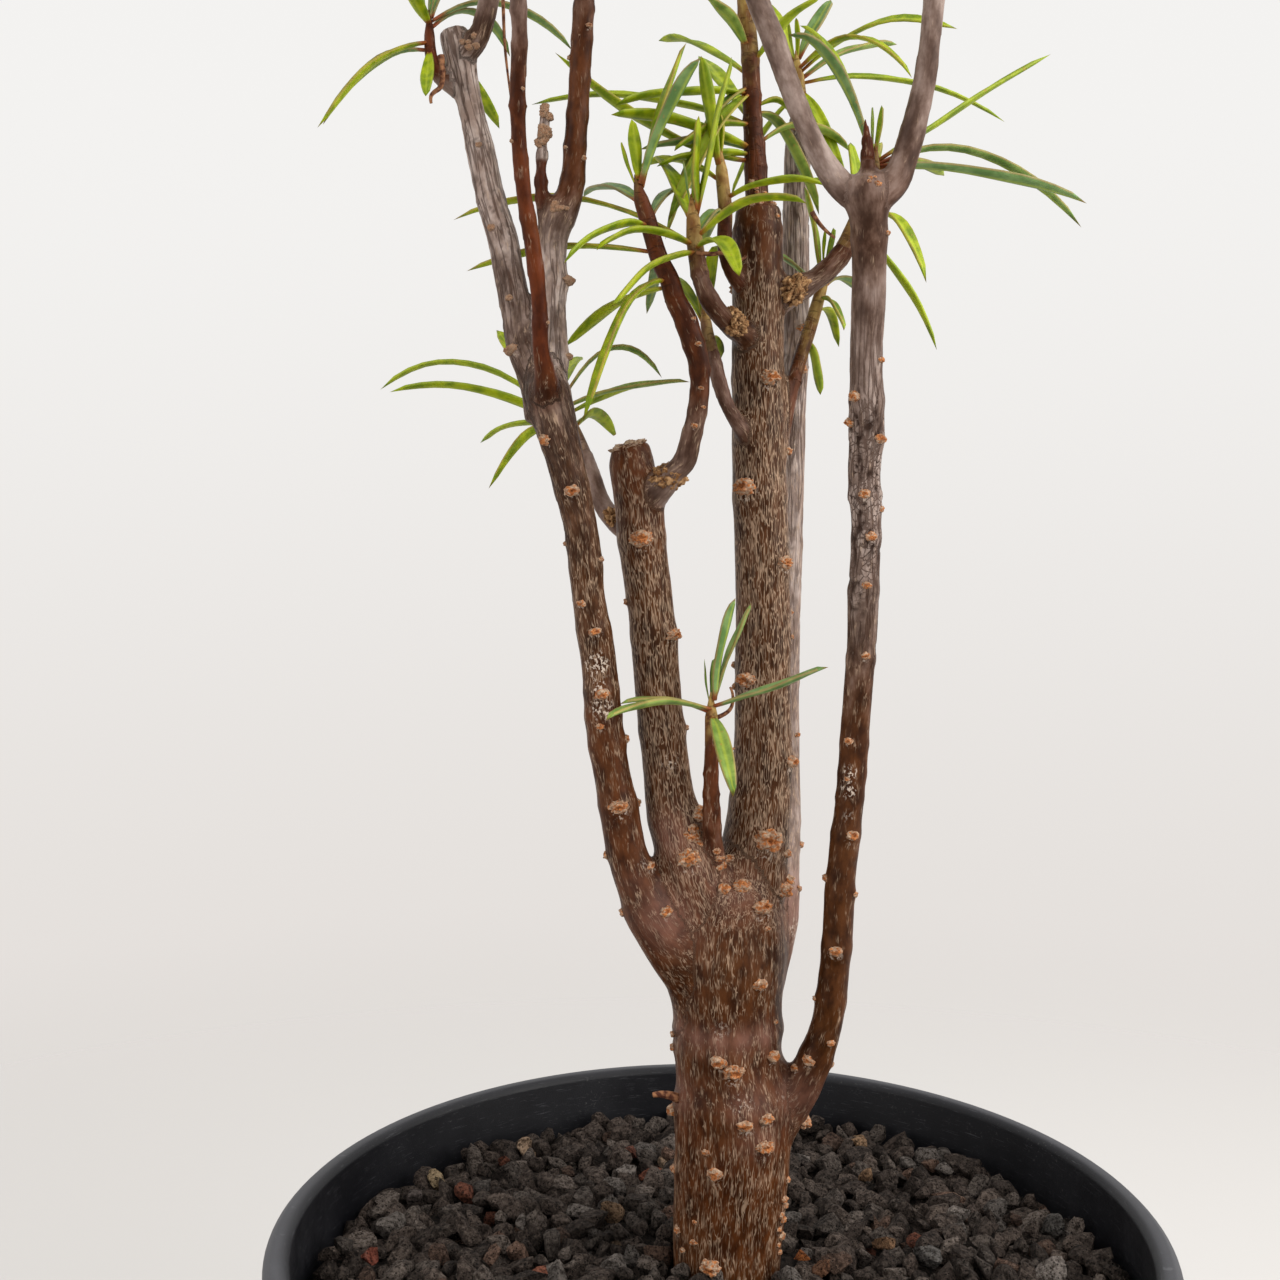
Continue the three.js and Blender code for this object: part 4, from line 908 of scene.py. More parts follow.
class Look:
    """A material, and the words that build it."""

    def __init__(self, name, **plain):
        self.material = bpy.data.materials.new(name)
        self.material.use_nodes = True
        self.nodes, self.links = self.material.node_tree.nodes, self.material.node_tree.links
        self.shader = self.nodes["Principled BSDF"]
        for key, value in plain.items():
            self.give(key.replace("_", " "), value)

    def give(self, name, value):
        self.feed(self.shader.inputs[name], value)

    def feed(self, socket, value):
        if isinstance(value, bpy.types.NodeSocket):
            self.links.new(value, socket)
        else:
            socket.default_value = value

    def new(self, kind, *values, **settings):
        node = self.nodes.new("ShaderNode" + kind)
        for key, value in settings.items():
            setattr(node, key, value)
        for socket, value in zip(node.inputs, values):
            self.feed(socket, value)
        return node

    def stored(self, name, part="Vector"):
        return self.new("Attribute", attribute_name=name).outputs[part]

    def places(self):
        """Object coordinates in millimetres."""
        metres = self.new("TexCoord").outputs["Object"]
        return self.stretched(metres, (1000, 1000, 1000))

    def parts(self, colour):
        return self.new("SeparateColor", colour).outputs[:3]

    def stretched(self, vector, scale):
        return self.new("VectorMath", vector, scale, operation="MULTIPLY").outputs[0]

    def noise(self, vector, scale=1.0, detail=2.0, rough=0.5, bend=0.0):
        node = self.new("TexNoise")
        for key, value in (("Vector", vector), ("Scale", scale), ("Detail", detail),
                           ("Roughness", rough), ("Distortion", bend)):
            self.feed(node.inputs[key], value)
        return node.outputs[0]

    def cells(self, vector, scale=1.0, feature="F1"):
        node = self.new("TexVoronoi", feature=feature)
        self.feed(node.inputs["Vector"], vector)
        self.feed(node.inputs["Scale"], scale)
        return node.outputs["Distance"]

    def band(self, value, low, high, start=0.0, end=1.0):
        node = self.new("MapRange", value, low, high, start, end,
                        interpolation_type="SMOOTHSTEP")
        return node.outputs[0]

    def off_middle(self, value):
        """How far a value from 0 to 1 is from one half."""
        return self.new("Math", self.add(value, -0.5), operation="ABSOLUTE").outputs[0]

    def veins(self, vector, detail=2.0, bend=0.0):
        """Near 0 along the wavy lines where a noise crosses its middle."""
        return self.off_middle(self.noise(vector, detail=detail, bend=bend))

    def sum(self, first, second):
        return self.new("Math", first, second, operation="ADD", use_clamp=True).outputs[0]

    def add(self, first, second):
        return self.new("Math", first, second, operation="ADD").outputs[0]

    def times(self, first, second):
        return self.new("Math", first, second, operation="MULTIPLY").outputs[0]

    def mix(self, share, first, second, how="MIX"):
        node = self.new("Mix", data_type="RGBA", blend_type=how)
        for index, value in ((0, share), (6, first), (7, second)):
            self.feed(node.inputs[index], value)
        return node.outputs[2]

    def shades(self, value, low, high, dark, light):
        """From a dark colour to a light one, each given from 0 to 255, as a value rises."""
        return self.mix(self.band(value, low, high), tint(*dark), tint(*light))

    def crumble(self, scale, detail, dark, light, depth, rough=0.7):
        """A plain crumbly finish: one noise gives both its shades and its bump."""
        crumb = self.noise(self.places(), scale, detail, rough)
        self.give("Base Color", self.shades(crumb, 0.35, 0.65, dark, light))
        self.bump(crumb, depth)

    def bump(self, height, depth, strength=1.0):
        """Raises the surface by a height from 0 to 1, times a depth in millimetres."""
        node = self.new("Bump")
        self.feed(node.inputs["Strength"], strength)
        self.feed(node.inputs["Distance"], depth * MM)
        self.feed(node.inputs["Height"], height)
        self.give("Normal", node.outputs[0])


def dress(thing, *looks):
    """Fills a piece's material slots, one look each."""
    slots = thing.data.materials
    for i, look in enumerate(looks):
        if i < len(slots):
            slots[i] = look.material
        else:
            slots.append(look.material)


print("the words are", ", ".join(w for w in vars(Look) if not w.startswith("_")))

# %% [markdown]
# ## The finish of the bark
# Up close the bark is warm brown, under fine silver wrinkles a fifth of a millimetre wide
# that wander along the stem. A noise crosses its middle value along just such wavy lines, and
# stretched seven to one along the grain they become wrinkles.
# Grey, red, purple and chalk are laid over it by the values stored on the skin, each broken
# up by noise, so that no colour ends in a clean line.

# %% Mix the bark
bark_look = Look("bark", Roughness=0.42, Specular_IOR_Level=0.1)


def bark_colours(look):
    """The colour of bark and the height of its fine relief."""
    grain = look.stored("grain")
    grey, red, flecks = look.parts(look.stored("tone", "Color"))
    purple, chalk, crack = look.parts(look.stored("marks", "Color"))
    aged = look.stored("marks", "Alpha")
    mottle = look.noise(look.stretched(grain, (0.42, 0.42, 0.2)), detail=4, rough=0.6)
    blotch = look.noise(look.stretched(grain, (0.2, 0.2, 0.12)), detail=2)
    brown = look.shades(mottle, 0.32, 0.68, (41, 20, 5), (80, 48, 23))
    ruddy = look.shades(mottle, 0.3, 0.7, (56, 20, 5), (98, 44, 18))
    brown = look.mix(look.times(red, look.band(blotch, 0.2, 0.6, 0.55, 1)), brown, ruddy)
    silt = look.shades(mottle, 0.35, 0.7, (134, 114, 104), (176, 160, 152))
    greyed = look.band(look.add(grey, look.times(mottle, 0.4)), 0.35, 0.95)
    colour = look.mix(greyed, brown, silt)
    # the silver wrinkles, thinned out where the list of ages has few flecks
    seam = look.veins(look.stretched(grain, (2.9, 2.9, 0.4)), 1, 0.5)
    patch = look.noise(look.stretched(grain, (1.3, 1.3, 0.4)), detail=2)
    here = look.band(look.add(patch, look.times(flecks, 0.4)), 0.58, 0.86)
    net = look.times(look.band(seam, 0.015, 0.085, 1, 0), here)
    colour = look.mix(look.times(net, 0.52), colour, tint(188, 160, 134))
    pocket = look.times(look.band(seam, 0.08, 0.2), look.band(flecks, 0.2, 1, 0.05, 0.3))
    colour = look.mix(pocket, colour, tint(46, 24, 8))
    bloom = look.times(purple, look.band(mottle, 0.25, 0.6, 0.5, 1))
    colour = look.mix(look.times(bloom, 0.6), colour, tint(132, 94, 82))
    scales = look.noise(look.stretched(grain, (2.1, 2.1, 1.5)), detail=3, rough=0.6)
    chalky = look.times(look.band(look.add(scales, look.times(chalk, 0.12)), 0.58, 0.68),
                        look.band(chalk, 0.1, 0.6))
    colour = look.mix(look.times(chalky, 0.75), colour, tint(214, 196, 180))
    # old grey plates: long fissures, and a net of cracks where the plates are short
    fissure = look.veins(look.stretched(grain, (1.05, 1.05, 0.085)), 2, 0.3)
    fissure = look.times(look.band(fissure, 0.012, 0.065, 1, 0), look.band(aged, 0, 0.9))
    bent = look.noise(look.stretched(grain, (1.2, 1.2, 0.8)))
    crooked = look.new("VectorMath", look.stretched(grain, (0.95, 0.95, 0.8)), bent,
                       operation="ADD").outputs[0]
    plates = look.cells(crooked, 1.0, "DISTANCE_TO_EDGE")
    broken = look.times(look.band(aged, 1, 1.9), look.band(mottle, 0.38, 0.5))
    plates = look.times(look.band(plates, 0.02, 0.1, 1, 0), broken)
    split = look.sum(look.times(fissure, 0.9), plates)
    colour = look.mix(look.times(split, 0.75), colour, tint(60, 38, 26))
    colour = look.mix(look.times(crack, 0.7), colour, tint(52, 36, 28))
    relief = look.add(look.times(net, 0.4), look.times(patch, 0.25))
    relief = look.add(relief, look.times(split, -0.8))
    return colour, look.add(relief, look.times(chalky, 0.3))


colour, relief = bark_colours(bark_look)
bark_look.give("Base Color", colour)
bark_look.bump(relief, 0.2, 0.9)
dress(bark, bark_look)
print("the bark uses", len(bark_look.nodes), "nodes")

# %% Mix the cork of the scars
cork_look = Look("cork", Roughness=0.92, Specular_IOR_Level=0.15)


def mix_cork(look):
    spot = look.places()
    core = look.stored("core", "Fac")
    crumb = look.noise(spot, 1.6, 4, 0.7)
    grit = look.noise(spot, 4.5, 3, 0.7)
    tan = look.shades(crumb, 0.35, 0.65, (128, 68, 34), (196, 126, 74))
    pale = look.shades(crumb, 0.35, 0.7, (146, 112, 86), (206, 182, 158))
    rim = look.band(look.add(core, look.times(crumb, 0.5)), 0.34, 0.66, 1, 0)
    colour = look.mix(rim, tan, pale)
    hole = look.band(look.add(core, look.times(grit, 0.9)), 1.1, 1.4)
    colour = look.mix(look.times(hole, 0.7), colour, tint(74, 38, 20))
    # the old scars on the grey branches at the left have weathered
    x, _, z = look.new("SeparateXYZ", spot).outputs
    worn = look.times(look.band(x, -24, -19, 1, 0), look.band(z, 255, 265))
    colour = look.mix(look.times(worn, 0.75), colour, tint(150, 122, 100))
    pit = look.band(grit, 0.3, 0.42, 1, 0)
    colour = look.mix(look.times(pit, 0.75), colour, tint(70, 44, 28))
    look.give("Base Color", colour)
    look.bump(look.add(look.times(crumb, 0.7), grit), 0.3, 1)


mix_cork(cork_look)
for thing in (scars, stump_cap):
    dress(thing, cork_look)

flaky_look = Look("old_cork", Roughness=0.92, Specular_IOR_Level=0.15)


def mix_flakes(look):
    spot, core = look.places(), look.stored("core", "Fac")
    crumb = look.noise(spot, 1.2, 4, 0.7)
    colour = look.shades(crumb, 0.35, 0.68, (124, 84, 50), (206, 164, 118))
    colour = look.mix(look.band(core, -0.1, 0.6), colour, tint(64, 36, 20))
    look.give("Base Color", colour)
    look.bump(look.add(crumb, look.noise(spot, 4, 3, 0.7)), 0.35, 1)


mix_flakes(flaky_look)
dress(collars, flaky_look)
print("cork is on", scars.name, stump_cap.name, "and", collars.name)

# %% [markdown]
# ## Leaves
# A leaf of this plant is narrow and stiff, some 30 mm long and 2.5 mm wide, folded into a
# shallow channel, with a pale midrib, a red stalk and often a red-brown tip. One leaf is a
# small grid that is bent along its own line: its width follows a profile, the edges are
# lifted, and it gets a thickness at the end. Every leaf has its own root and tip from the
# lists below, so that the bunches spread as they do on the plant.

# %% List the leaves as place on the shoot, tip and arch
LEAVES = {
    "stump_shoot": [
        (0.1, -26, 6, 273.5, 2), (0.15, -22, -17, 259, 6), (0.4, -42.5, 7, 286.5, 2),
        (0.6, -25, -22, 282.5, 2), (0.8, -23, 16, 301, 2), (0.9, -6, -1, 321.5, 1),
        (0.92, -4, -16, 314.5, 2), (0.96, -14.5, -9.5, 307, 0), (0.65, -4, 14, 302, 2),
        (0.3, -12, 18, 281, 3)],
    "centre_left": [
        (0.45, -45, 9, 295.5, 5), (0.4, -20, -20, 285, 2.5), (0.3, -17.5, -24, 275.5, 2),
        (0.5, 13, -13, 293.5, 2.5), (0.8, -4, -7.5, 308, 0), (0.75, 1.5, -5, 318, 1),
        (0.35, 1.5, -27, 279.5, 3), (0.7, -10.5, 9, 306, 1)],
    "centre_low": [
        (0.5, -4, 9, 290, 0.5), (0.3, 1, 11, 272.5, 1), (0.7, 0, 13, 292, 1),
        (0.6, -10, 18, 288.5, 1.5)],
    "centre_back": [
        (0.45, 17, -5, 298, 1.5), (0.8, -3, 1, 320, 1), (0.3, -2, 22, 293.5, 2),
        (0.65, -13.5, 16, 306, 2), (0.25, -4.5, -4, 289, 2.5)],
    "main_tip": [
        (0.08, -27, 3, 321.5, -3.5), (0.2, -32, 15, 316.5, 3), (0.12, -18, -6, 309, 1.5),
        (0.3, -17.5, -2, 311.5, 1), (0.32, -9, 2, 290.5, 5), (0.24, 19, 20, 298.5, 5),
        (0.22, -2.5, 28, 328.5, 1), (0.4, 16.5, 2, 330, 1), (0.45, -2.5, -1, 329, 1),
        (0.14, 24, 18, 309, 3.5), (0.36, -9.5, 30, 332, 2),
        (0.3, -8.6, -3, 292.4, 3), (0.2, -7.9, 0, 304.6, 1.5), (0.12, -13.2, 4, 305.7, 1.5),
        (0.1, -10.7, 2, 302.7, 1), (0.26, 14.3, 12, 312.7, 2)],
    "back_side": [
        (0.75, 40.5, 9, 327, 4.5), (0.6, 52.5, 24, 316, 3.5), (0.65, 34, 31, 331.5, 2),
        (0.8, 32, 2, 317, 5.5), (0.5, 23.5, 16, 298.5, 3), (0.45, 3, 27, 303, 2.5),
        (0.85, 8, 21, 336, 2), (0.9, 21, 24, 337, 1)],
    "fork_shoot": [
        (0.4, 55, -16, 289, 6), (0.3, 54, -22, 291.5, 1.5), (0.5, 50.5, -12, 316.5, 0),
        (0.6, 8.5, -26, 314.5, 5), (0.7, 11.5, -16, 319.5, 3.5), (0.25, 36, -4, 299.5, 1.5),
        (0.45, 26, 4, 303, 3)],
    "right_side": [
        (0.5, 34, -2, 283, 5.5), (0.35, 39, 14, 274, 3), (0.6, 15.5, 13, 302.5, 2),
        (0.7, 34, 22, 308.5, 2), (0.4, 30, 25, 279, 4), (0.9, 23.5, 15, 310, 0)],
    "right_low": [
        (0.7, 22, 8, 276.5, 1.5), (0.9, 16, 17, 302.5, 1), (0.75, 10, 21, 292.5, 1),
        (0.35, 18.5, 13, 266, 1), (0.8, 28.5, 26, 284.5, 2.5), (0.6, 23, 25, 276, 3)],
    "hidden_left": [
        (0.5, -60, 21, 268, 7), (0.45, -55.5, 4, 266, 3), (0.3, -42.5, 26, 258.5, 3),
        (0.35, -39, 6, 249.5, 4), (0.7, -4.5, 12, 268.5, 1), (0.6, -9, 28, 270, 1),
        (0.8, -9, 21, 270, 7), (0.4, -18, 31, 260.5, 3), (0.85, -24, 33, 275, 1.5),
        (0.6, -40, 33, 280, 2), (0.95, -28, 25, 284, 0.5)],
    "crotch_shoot": [
        (0.7, -18.5, -31, 214.5, 1.5), (0.65, -16.5, -9, 214.5, 1.2),
        (0.75, 16.5, -14, 221, -0.5), (0.55, 1.5, -20, 201, 2), (0.85, 2, -9.5, 231.5, 1),
        (0.9, 5, -6, 230.5, 1)],
    "far_left_shoot": [
        (0.5, -64, -10, 305.5, 3), (0.4, -67, 8, 311, 3.5), (0.8, -50, -12, 328, 0),
        (0.9, -45.5, 6, 336, 0), (0.35, -47, -9, 311, 0), (0.85, -24.5, 12, 324.5, 5),
        (0.75, -35.5, 15, 324.5, 4.5), (0.3, -38, 21, 314, 2)],
}
print(sum(len(leaves) for leaves in LEAVES.values()), "leaves are listed")

# %% Fan out the crowns
CROWNS = {
    # where it starts, how many leaves, the longest one, the way the first one points
    "right_arm_left": (.25, 10, 31, 200), "right_arm_right": (.25, 10, 31, 20),
    "far_left_side": (.25, 10, 31, 110), "left_centre": (.25, 10, 31, 78),
    "front_left": (.25, 10, 31, 250), "main_tip": (.66, 9, 30, 110),
}
TURN = 137.508
LOW_LIFT, HIGH_LIFT = 22, 66
WOOD_GAP = 0.3


def leafy_mark(stem, place):
    """A length along the stem, for a place from 0 where the wood ends to 1 at the tip."""
    return stem.wood_end + WOOD_GAP + (stem.length - stem.wood_end - WOOD_GAP) * place


def crown(stem, first, count, longest, direction):
    """Leaves in a spiral round the tip, as place, tip and arch."""
    leaves = []
    for i in range(count):
        share = i / (count - 1)
        place = first + (0.97 - first) * share
        lift = math.radians(LOW_LIFT + (HIGH_LIFT - LOW_LIFT) * share)
        turn = math.radians(direction + i * TURN)
        length = longest * (1 - 0.4 * share)
        reach = length * math.cos(lift)
        step = (reach * math.cos(turn), reach * math.sin(turn), length * math.sin(lift))
        root = stem.at(leafy_mark(stem, place))
        leaves.append((place, *(root + step), 3 * (1 - share)))
    return leaves


for name, spread in CROWNS.items():
    LEAVES[name] = LEAVES.get(name, []) + crown(stems[name], *spread)
print(sum(len(leaves) for leaves in LEAVES.values()), "leaves")

# %% Bend a grid into one leaf
LEAF_WIDTH = 2.5
LEAF_THICKNESS = 0.4
FULL_LENGTH = 18
WIDTH_AT = [0, 0.07, 0.2, 0.4, 0.62, 0.8, 0.92, 1]
WIDTH = [0.3, 0.4, 0.74, 0.97, 1, 0.8, 0.46, 0.06]


def leaf(bm, root, tip, arch, heading, broad, dusk, draw):
    """One folded leaf. Its points store their place across and along, and how dusky it is."""
    spot = bm.verts.layers.float_vector["leaf"]
    made = bmesh.ops.create_grid(bm, x_segments=4, y_segments=12, size=1)["verts"]
    straight = Vector(tip) - Vector(root)
    along = straight.normalized()
    wide = straight.cross(Vector(heading)).normalized()
    if wide.length < 0.5:
        wide = along.orthogonal().normalized()
    above = wide.cross(along)
    slim = min(1, straight.length / FULL_LENGTH) ** 0.4
    width = LEAF_WIDTH / 2 * broad * draw.uniform(0.9, 1.1) * slim
    chance, twist = draw.random() * (1 - dusk) + dusk, draw.uniform(-0.45, 0.45)
    sway, fold = draw.uniform(-0.04, 0.04) * straight.length, draw.uniform(0.3, 0.5)
    for vert in made:
        x, t = vert.co.x, (vert.co.y + 1) / 2
        half = width * np.interp(t, WIDTH_AT, WIDTH)
        turn = twist * t
        side = wide * math.cos(turn) + above * math.sin(turn)
        raised = above * math.cos(turn) - wide * math.sin(turn)
        bow = 4 * t * (1 - t)
        wave = 0.12 * math.sin(9 * t + x + chance * 6)
        line = Vector(root) + straight * t + Vector((0, 0, arch * bow))
        line += wide * sway * bow + raised * half * wave
        vert.co = (line + side * x * half * math.cos(fold * abs(x))
                   + raised * half * fold * abs(x) ** 1.4) * MM
        vert[spot] = ((x + 1) / 2, t, chance)


print("a leaf is", LEAF_WIDTH, "mm wide and", LEAF_THICKNESS, "mm thick")

# %% Grow the leaves on their shoots
LEAF_SEED = 5
RINGS["main_tip"] = [(300.5, .15, .5), (304, .2, .5), (308, .22, .6), (312, .2, .6),
                     (316, .25, .7), (322, .15, .7), (329, .15, .7), (337, .15, .7)]
BROAD = {"main_tip": 1.25, "crotch_shoot": 1, "stump_shoot": 1.15, "centre_left": 1.15,
         "right_side": 1.1}
DUSKY = {"crotch_shoot": 0.8, "centre_left": 0.35}
YOUNG = {"main_tip": (310, 345), "far_left_shoot": (318, 400), "stump_shoot": (285, 330),
         "far_left_side": (330, 350), "left_centre": (350, 372), "front_left": (350, 372)}
BUD_LENGTH = 5.5


def leafy_shoot(name, draw):
    """A shoot with its leaves as one closed mesh each, in one object."""
    stem = stems[name]
    stalk = tube(stem, stem.wood_end + 0.05, stem.length, step=0.8, sides=16)
    for face in stalk.polygons:
        face.material_index = 1
    bm = bmesh.new()
    bm.verts.layers.float_vector.new("leaf")
    for place, x, y, z, arch in LEAVES[name]:
        mark = leafy_mark(stem, place)
        heading = stem.heading(mark)
        start = stem.at(mark)
        step = np.array((x, y, z)) - start
        out = step - heading * step.dot(heading)
        out /= max(np.linalg.norm(out), 1e-6)
        start = start + out * min(0.7, stem.radius(mark) * 0.6)
        leaf(bm, start, (x, y, z), arch, heading, BROAD.get(name, 1), DUSKY.get(name, 0), draw)
    top = stem.at(stem.length)
    for turn in (0.6, 3.5):
        aside = np.array((math.cos(turn), math.sin(turn), 0))
        heading = stem.heading(stem.length)
        leaf(bm, stem.at(stem.length - 1.5) + aside * 0.3, top + heading * BUD_LENGTH + aside,
             0.5, aside, 0.55, 0.6, draw)
    bmesh.ops.solidify(bm, geom=bm.faces[:], thickness=LEAF_THICKNESS * MM)
    spot = bm.verts.layers.float_vector["leaf"]
    # the thickness is drawn together at the tip, so that a leaf ends in a point
    tips = [vert for vert in bm.verts if vert[spot].y > 0.99]
    bmesh.ops.remove_doubles(bm, verts=tips, dist=LEAF_THICKNESS * 1.5 * MM)
    bmesh.ops.recalc_face_normals(bm, faces=bm.faces)
    bm.from_mesh(stalk)
    bpy.data.meshes.remove(stalk)
    for face in bm.faces:
        face.smooth = True
    thing = from_bmesh(name + "_leaves", bm)
    points = read_points(thing.data)
    rows = Guides([stem]).survey(points)[0]
    ages = ages_of(points, rows[:, 14])
    nothing = np.zeros(len(points))
    low, high = YOUNG.get(name, (stem.at(stem.wood_end)[2] - 4, stem.at(stem.length)[2] + 2))
    store(thing.data, "grain", grain_of(points, rows), "FLOAT_VECTOR")
    store(thing.data, "tone", np.column_stack([ages[:, :3], nothing + 1]), "FLOAT_COLOR")
    store(thing.data, "marks", np.column_stack([nothing] * 3 + [ages[:, 3]]), "FLOAT_COLOR")
    store(thing.data, "young", np.clip((points[:, 2] - low) / (high - low), 0, 1), "FLOAT")
    return thing


draw = random.Random(LEAF_SEED)
shoots = {name: leafy_shoot(name, draw) for name in LEAFY_FROM}
print(len(shoots), "shoots,", sum(len(s.data.polygons) for s in shoots.values()), "faces")

# %% Mix the green of the leaves
leaf_look = Look("leaf", Roughness=0.5, Specular_IOR_Level=0.22, Subsurface_Weight=0.15,
                 Subsurface_Scale=0.0006, Subsurface_Radius=(0.6, 1.0, 0.15))


def mix_leaf(look):
    across, along, chance = look.parts(look.stored("leaf", "Color"))
    spot = look.places()
    mottle = look.noise(spot, 0.35, 3)
    fresh = look.shades(mottle, 0.35, 0.65, (104, 126, 4), (154, 168, 14))
    dusky = look.shades(mottle, 0.35, 0.65, (84, 116, 62), (118, 146, 92))
    colour = look.mix(look.band(chance, 0.68, 0.92, 0, 0.95), fresh, dusky)
    from_rib = look.off_middle(across)
    mid = look.band(from_rib, 0.02, 0.16, 0.4, 0)
    colour = look.mix(mid, colour, tint(178, 188, 56))
    edge = look.band(from_rib, 0.42, 0.5, 0, 0.4)
    margin = look.shades(chance, 0.3, 0.7, (160, 170, 70), (168, 112, 78))
    colour = look.mix(edge, colour, margin)
    stalk = look.band(look.add(along, look.times(mottle, 0.08)), 0.07, 0.15, 0.8, 0)
    colour = look.mix(stalk, colour, tint(150, 62, 42))
    burnt = look.band(look.add(along, look.times(chance, 0.04)), 0.975, 1.03, 0, 0.7)
    colour = look.mix(burnt, colour, tint(122, 60, 32))
    spots = look.band(look.noise(spot, 1.1, 2), 0.68, 0.74, 0, 0.5)
    colour = look.mix(spots, colour, tint(168, 120, 60))
    look.give("Base Color", colour)
    look.bump(look.add(look.noise(spot, 2.2, 3), look.times(mid, 0.8)), 0.08, 0.8)


mix_leaf(leaf_look)
print("the leaf uses", len(leaf_look.nodes), "nodes")

# %% Mix the skin of the young shoots
shoot_look = Look("shoot", Roughness=0.5, Specular_IOR_Level=0.12)


def mix_shoot(look):
    """The bark's own colours, so that no seam shows, turning green and ringed to the tip."""
    bark_colour, relief = bark_colours(look)
    grain, young = look.stored("grain"), look.stored("young", "Fac")
    mottle = look.noise(look.stretched(grain, (0.6, 0.6, 0.4)), detail=3)
    green = look.shades(mottle, 0.3, 0.7, (134, 94, 50), (176, 148, 86))
    share = look.band(look.add(young, look.times(mottle, 0.5)), 0.45, 1.1)
    colour = look.mix(share, bark_colour, green)
    ring = look.noise(look.stretched(grain, (0.5, 0.5, 1.5)), detail=3, bend=0.4)
    split = look.band(ring, 0.36, 0.44, 1, 0)
    colour = look.mix(look.times(split, 0.45), colour, tint(48, 24, 14))
    look.give("Base Color", colour)
    look.bump(look.add(relief, look.times(split, -0.5)), 0.16, 0.9)


mix_shoot(shoot_look)
for thing in shoots.values():
    dress(thing, leaf_look, shoot_look)
print("the shoots are dressed")

# %% [markdown]
# ## Crushed lava
# The top dressing is porous lava, crushed and sieved to 3 to 6 mm, near black with a few tan
# and red grains. A stone is a small ball whose sides are cut flat by random planes, which
# gives the broken look with very few faces, and the pores are bump. The stones lie in a
# shaken six-sided grid, in two layers, so that no gap shows the soil. Each one stores its own
# colour.

# %% Chisel one stone
STONE_COLOURS = [
    # colour, share
    ((76, 66, 60), 30), ((90, 79, 72), 32), ((104, 94, 87), 22), ((120, 112, 106), 5),
    ((106, 84, 72), 5), ((130, 80, 62), 0.5), ((138, 116, 96), 0.6),
]
FLATS = 9


def stone(bm, place, size, colour, draw, fine=2):
    """A broken stone at a place, with its size as three half widths."""
    shade = bm.verts.layers.float_color["stone"]
    made = bmesh.ops.create_icosphere(bm, subdivisions=fine, radius=1)["verts"]
    seed = Vector((draw.uniform(-90, 90) for _ in range(3)))
    flats = []
    for _ in range(FLATS):
        facing = Vector((draw.gauss(0, 1) for _ in range(3))).normalized()
        flats.append((facing, draw.uniform(0.42, 0.85)))
    lean = Vector((draw.gauss(0, 0.9), draw.gauss(0, 0.9), 1))
    turn = Vector((0, 0, 1)).rotation_difference(lean)
    spin = draw.uniform(0, math.tau)
    for vert in made:
        d = vert.co * (1 + 0.4 * noise.noise(vert.co * 1.3 + seed)
                       + 0.3 * noise.noise(vert.co * 3.3 + seed))
        for facing, cut in flats:
            over = d.dot(facing) - cut
            if over > 0:
                d -= facing * over
        x, y = d.x * size[0], d.y * size[1]
        d = Vector((x * math.cos(spin) - y * math.sin(spin),
                    x * math.sin(spin) + y * math.cos(spin), d.z * size[2]))
        vert.co = (Vector(place) + turn @ d) * MM
        vert[shade] = colour


def any_colour(draw):
    tones, weights = zip(*STONE_COLOURS)
    tone = draw.choices(tones, weights)[0]
    light = draw.uniform(0.82, 1.26)
    return tint(*(min(255, c * light) for c in tone))


print("stones come in", len(STONE_COLOURS), "colours")

# %% Lay the stones
STONE_SEED = 23
PITCH = 4.15
BED_RADIUS = 68.3
TOP_LEVEL, LOW_LEVEL = 115.0, 112.2
TRUNK_PLACE, TRUNK_RADIUS = (2.0, 4.0), 9.2
PEBBLES = [
    # place, half widths, colour
    ((-18.2, 19.9), (3.0, 2.4, 1.9), (150, 122, 96)),
    ((-14.8, 46.5), (2.3, 2.0, 1.7), (142, 92, 76)),
    ((-52.7, 33.1), (2.2, 1.9, 1.5), (168, 146, 114)),
    ((-56.2, 25.5), (2.0, 1.7, 1.4), (92, 82, 78)),
    ((-60, 1.6), (1.9, 1.7, 1.4), (138, 76, 60)),
    ((37.1, 1.6), (3.6, 2.8, 1.7), (112, 108, 104)),
    ((62.5, 15), (3.4, 2.6, 1.7), (104, 100, 96)),
    ((32.3, 51.6), (2.2, 1.9, 1.6), (160, 128, 98)),
    ((31.3, 34.4), (2.1, 1.8, 1.5), (150, 118, 90)),
    ((30.2, 7.2), (2.3, 1.8, 1.5), (146, 112, 84)),
    ((14.8, 2.0), (1.5, 1.2, 1.1), (186, 112, 62)),
    ((17.6, -2.5), (1.9, 1.6, 1.3), (120, 84, 62)),
]
PEBBLE_RISE, PEBBLE_ROOM = 1.6, 2.6
TRUNK_ROOM = 1.2


def spots(level, draw):
    """Shaken places of a six-sided grid that clear the pot and the trunk."""
    rows = int(BED_RADIUS / PITCH * 1.2) + 1
    for row in range(-rows, rows + 1):
        for column in range(-rows, rows + 1):
            x = (column + 0.5 * (row % 2)) * PITCH + draw.uniform(-1, 1)
            y = row * PITCH * 0.866 + draw.uniform(-1, 1)
            clear = math.hypot(x - TRUNK_PLACE[0], y - TRUNK_PLACE[1]) > TRUNK_RADIUS + TRUNK_ROOM
            if math.hypot(x, y) < BED_RADIUS and clear:
                yield x, y, level + draw.uniform(-0.9, 1.1)


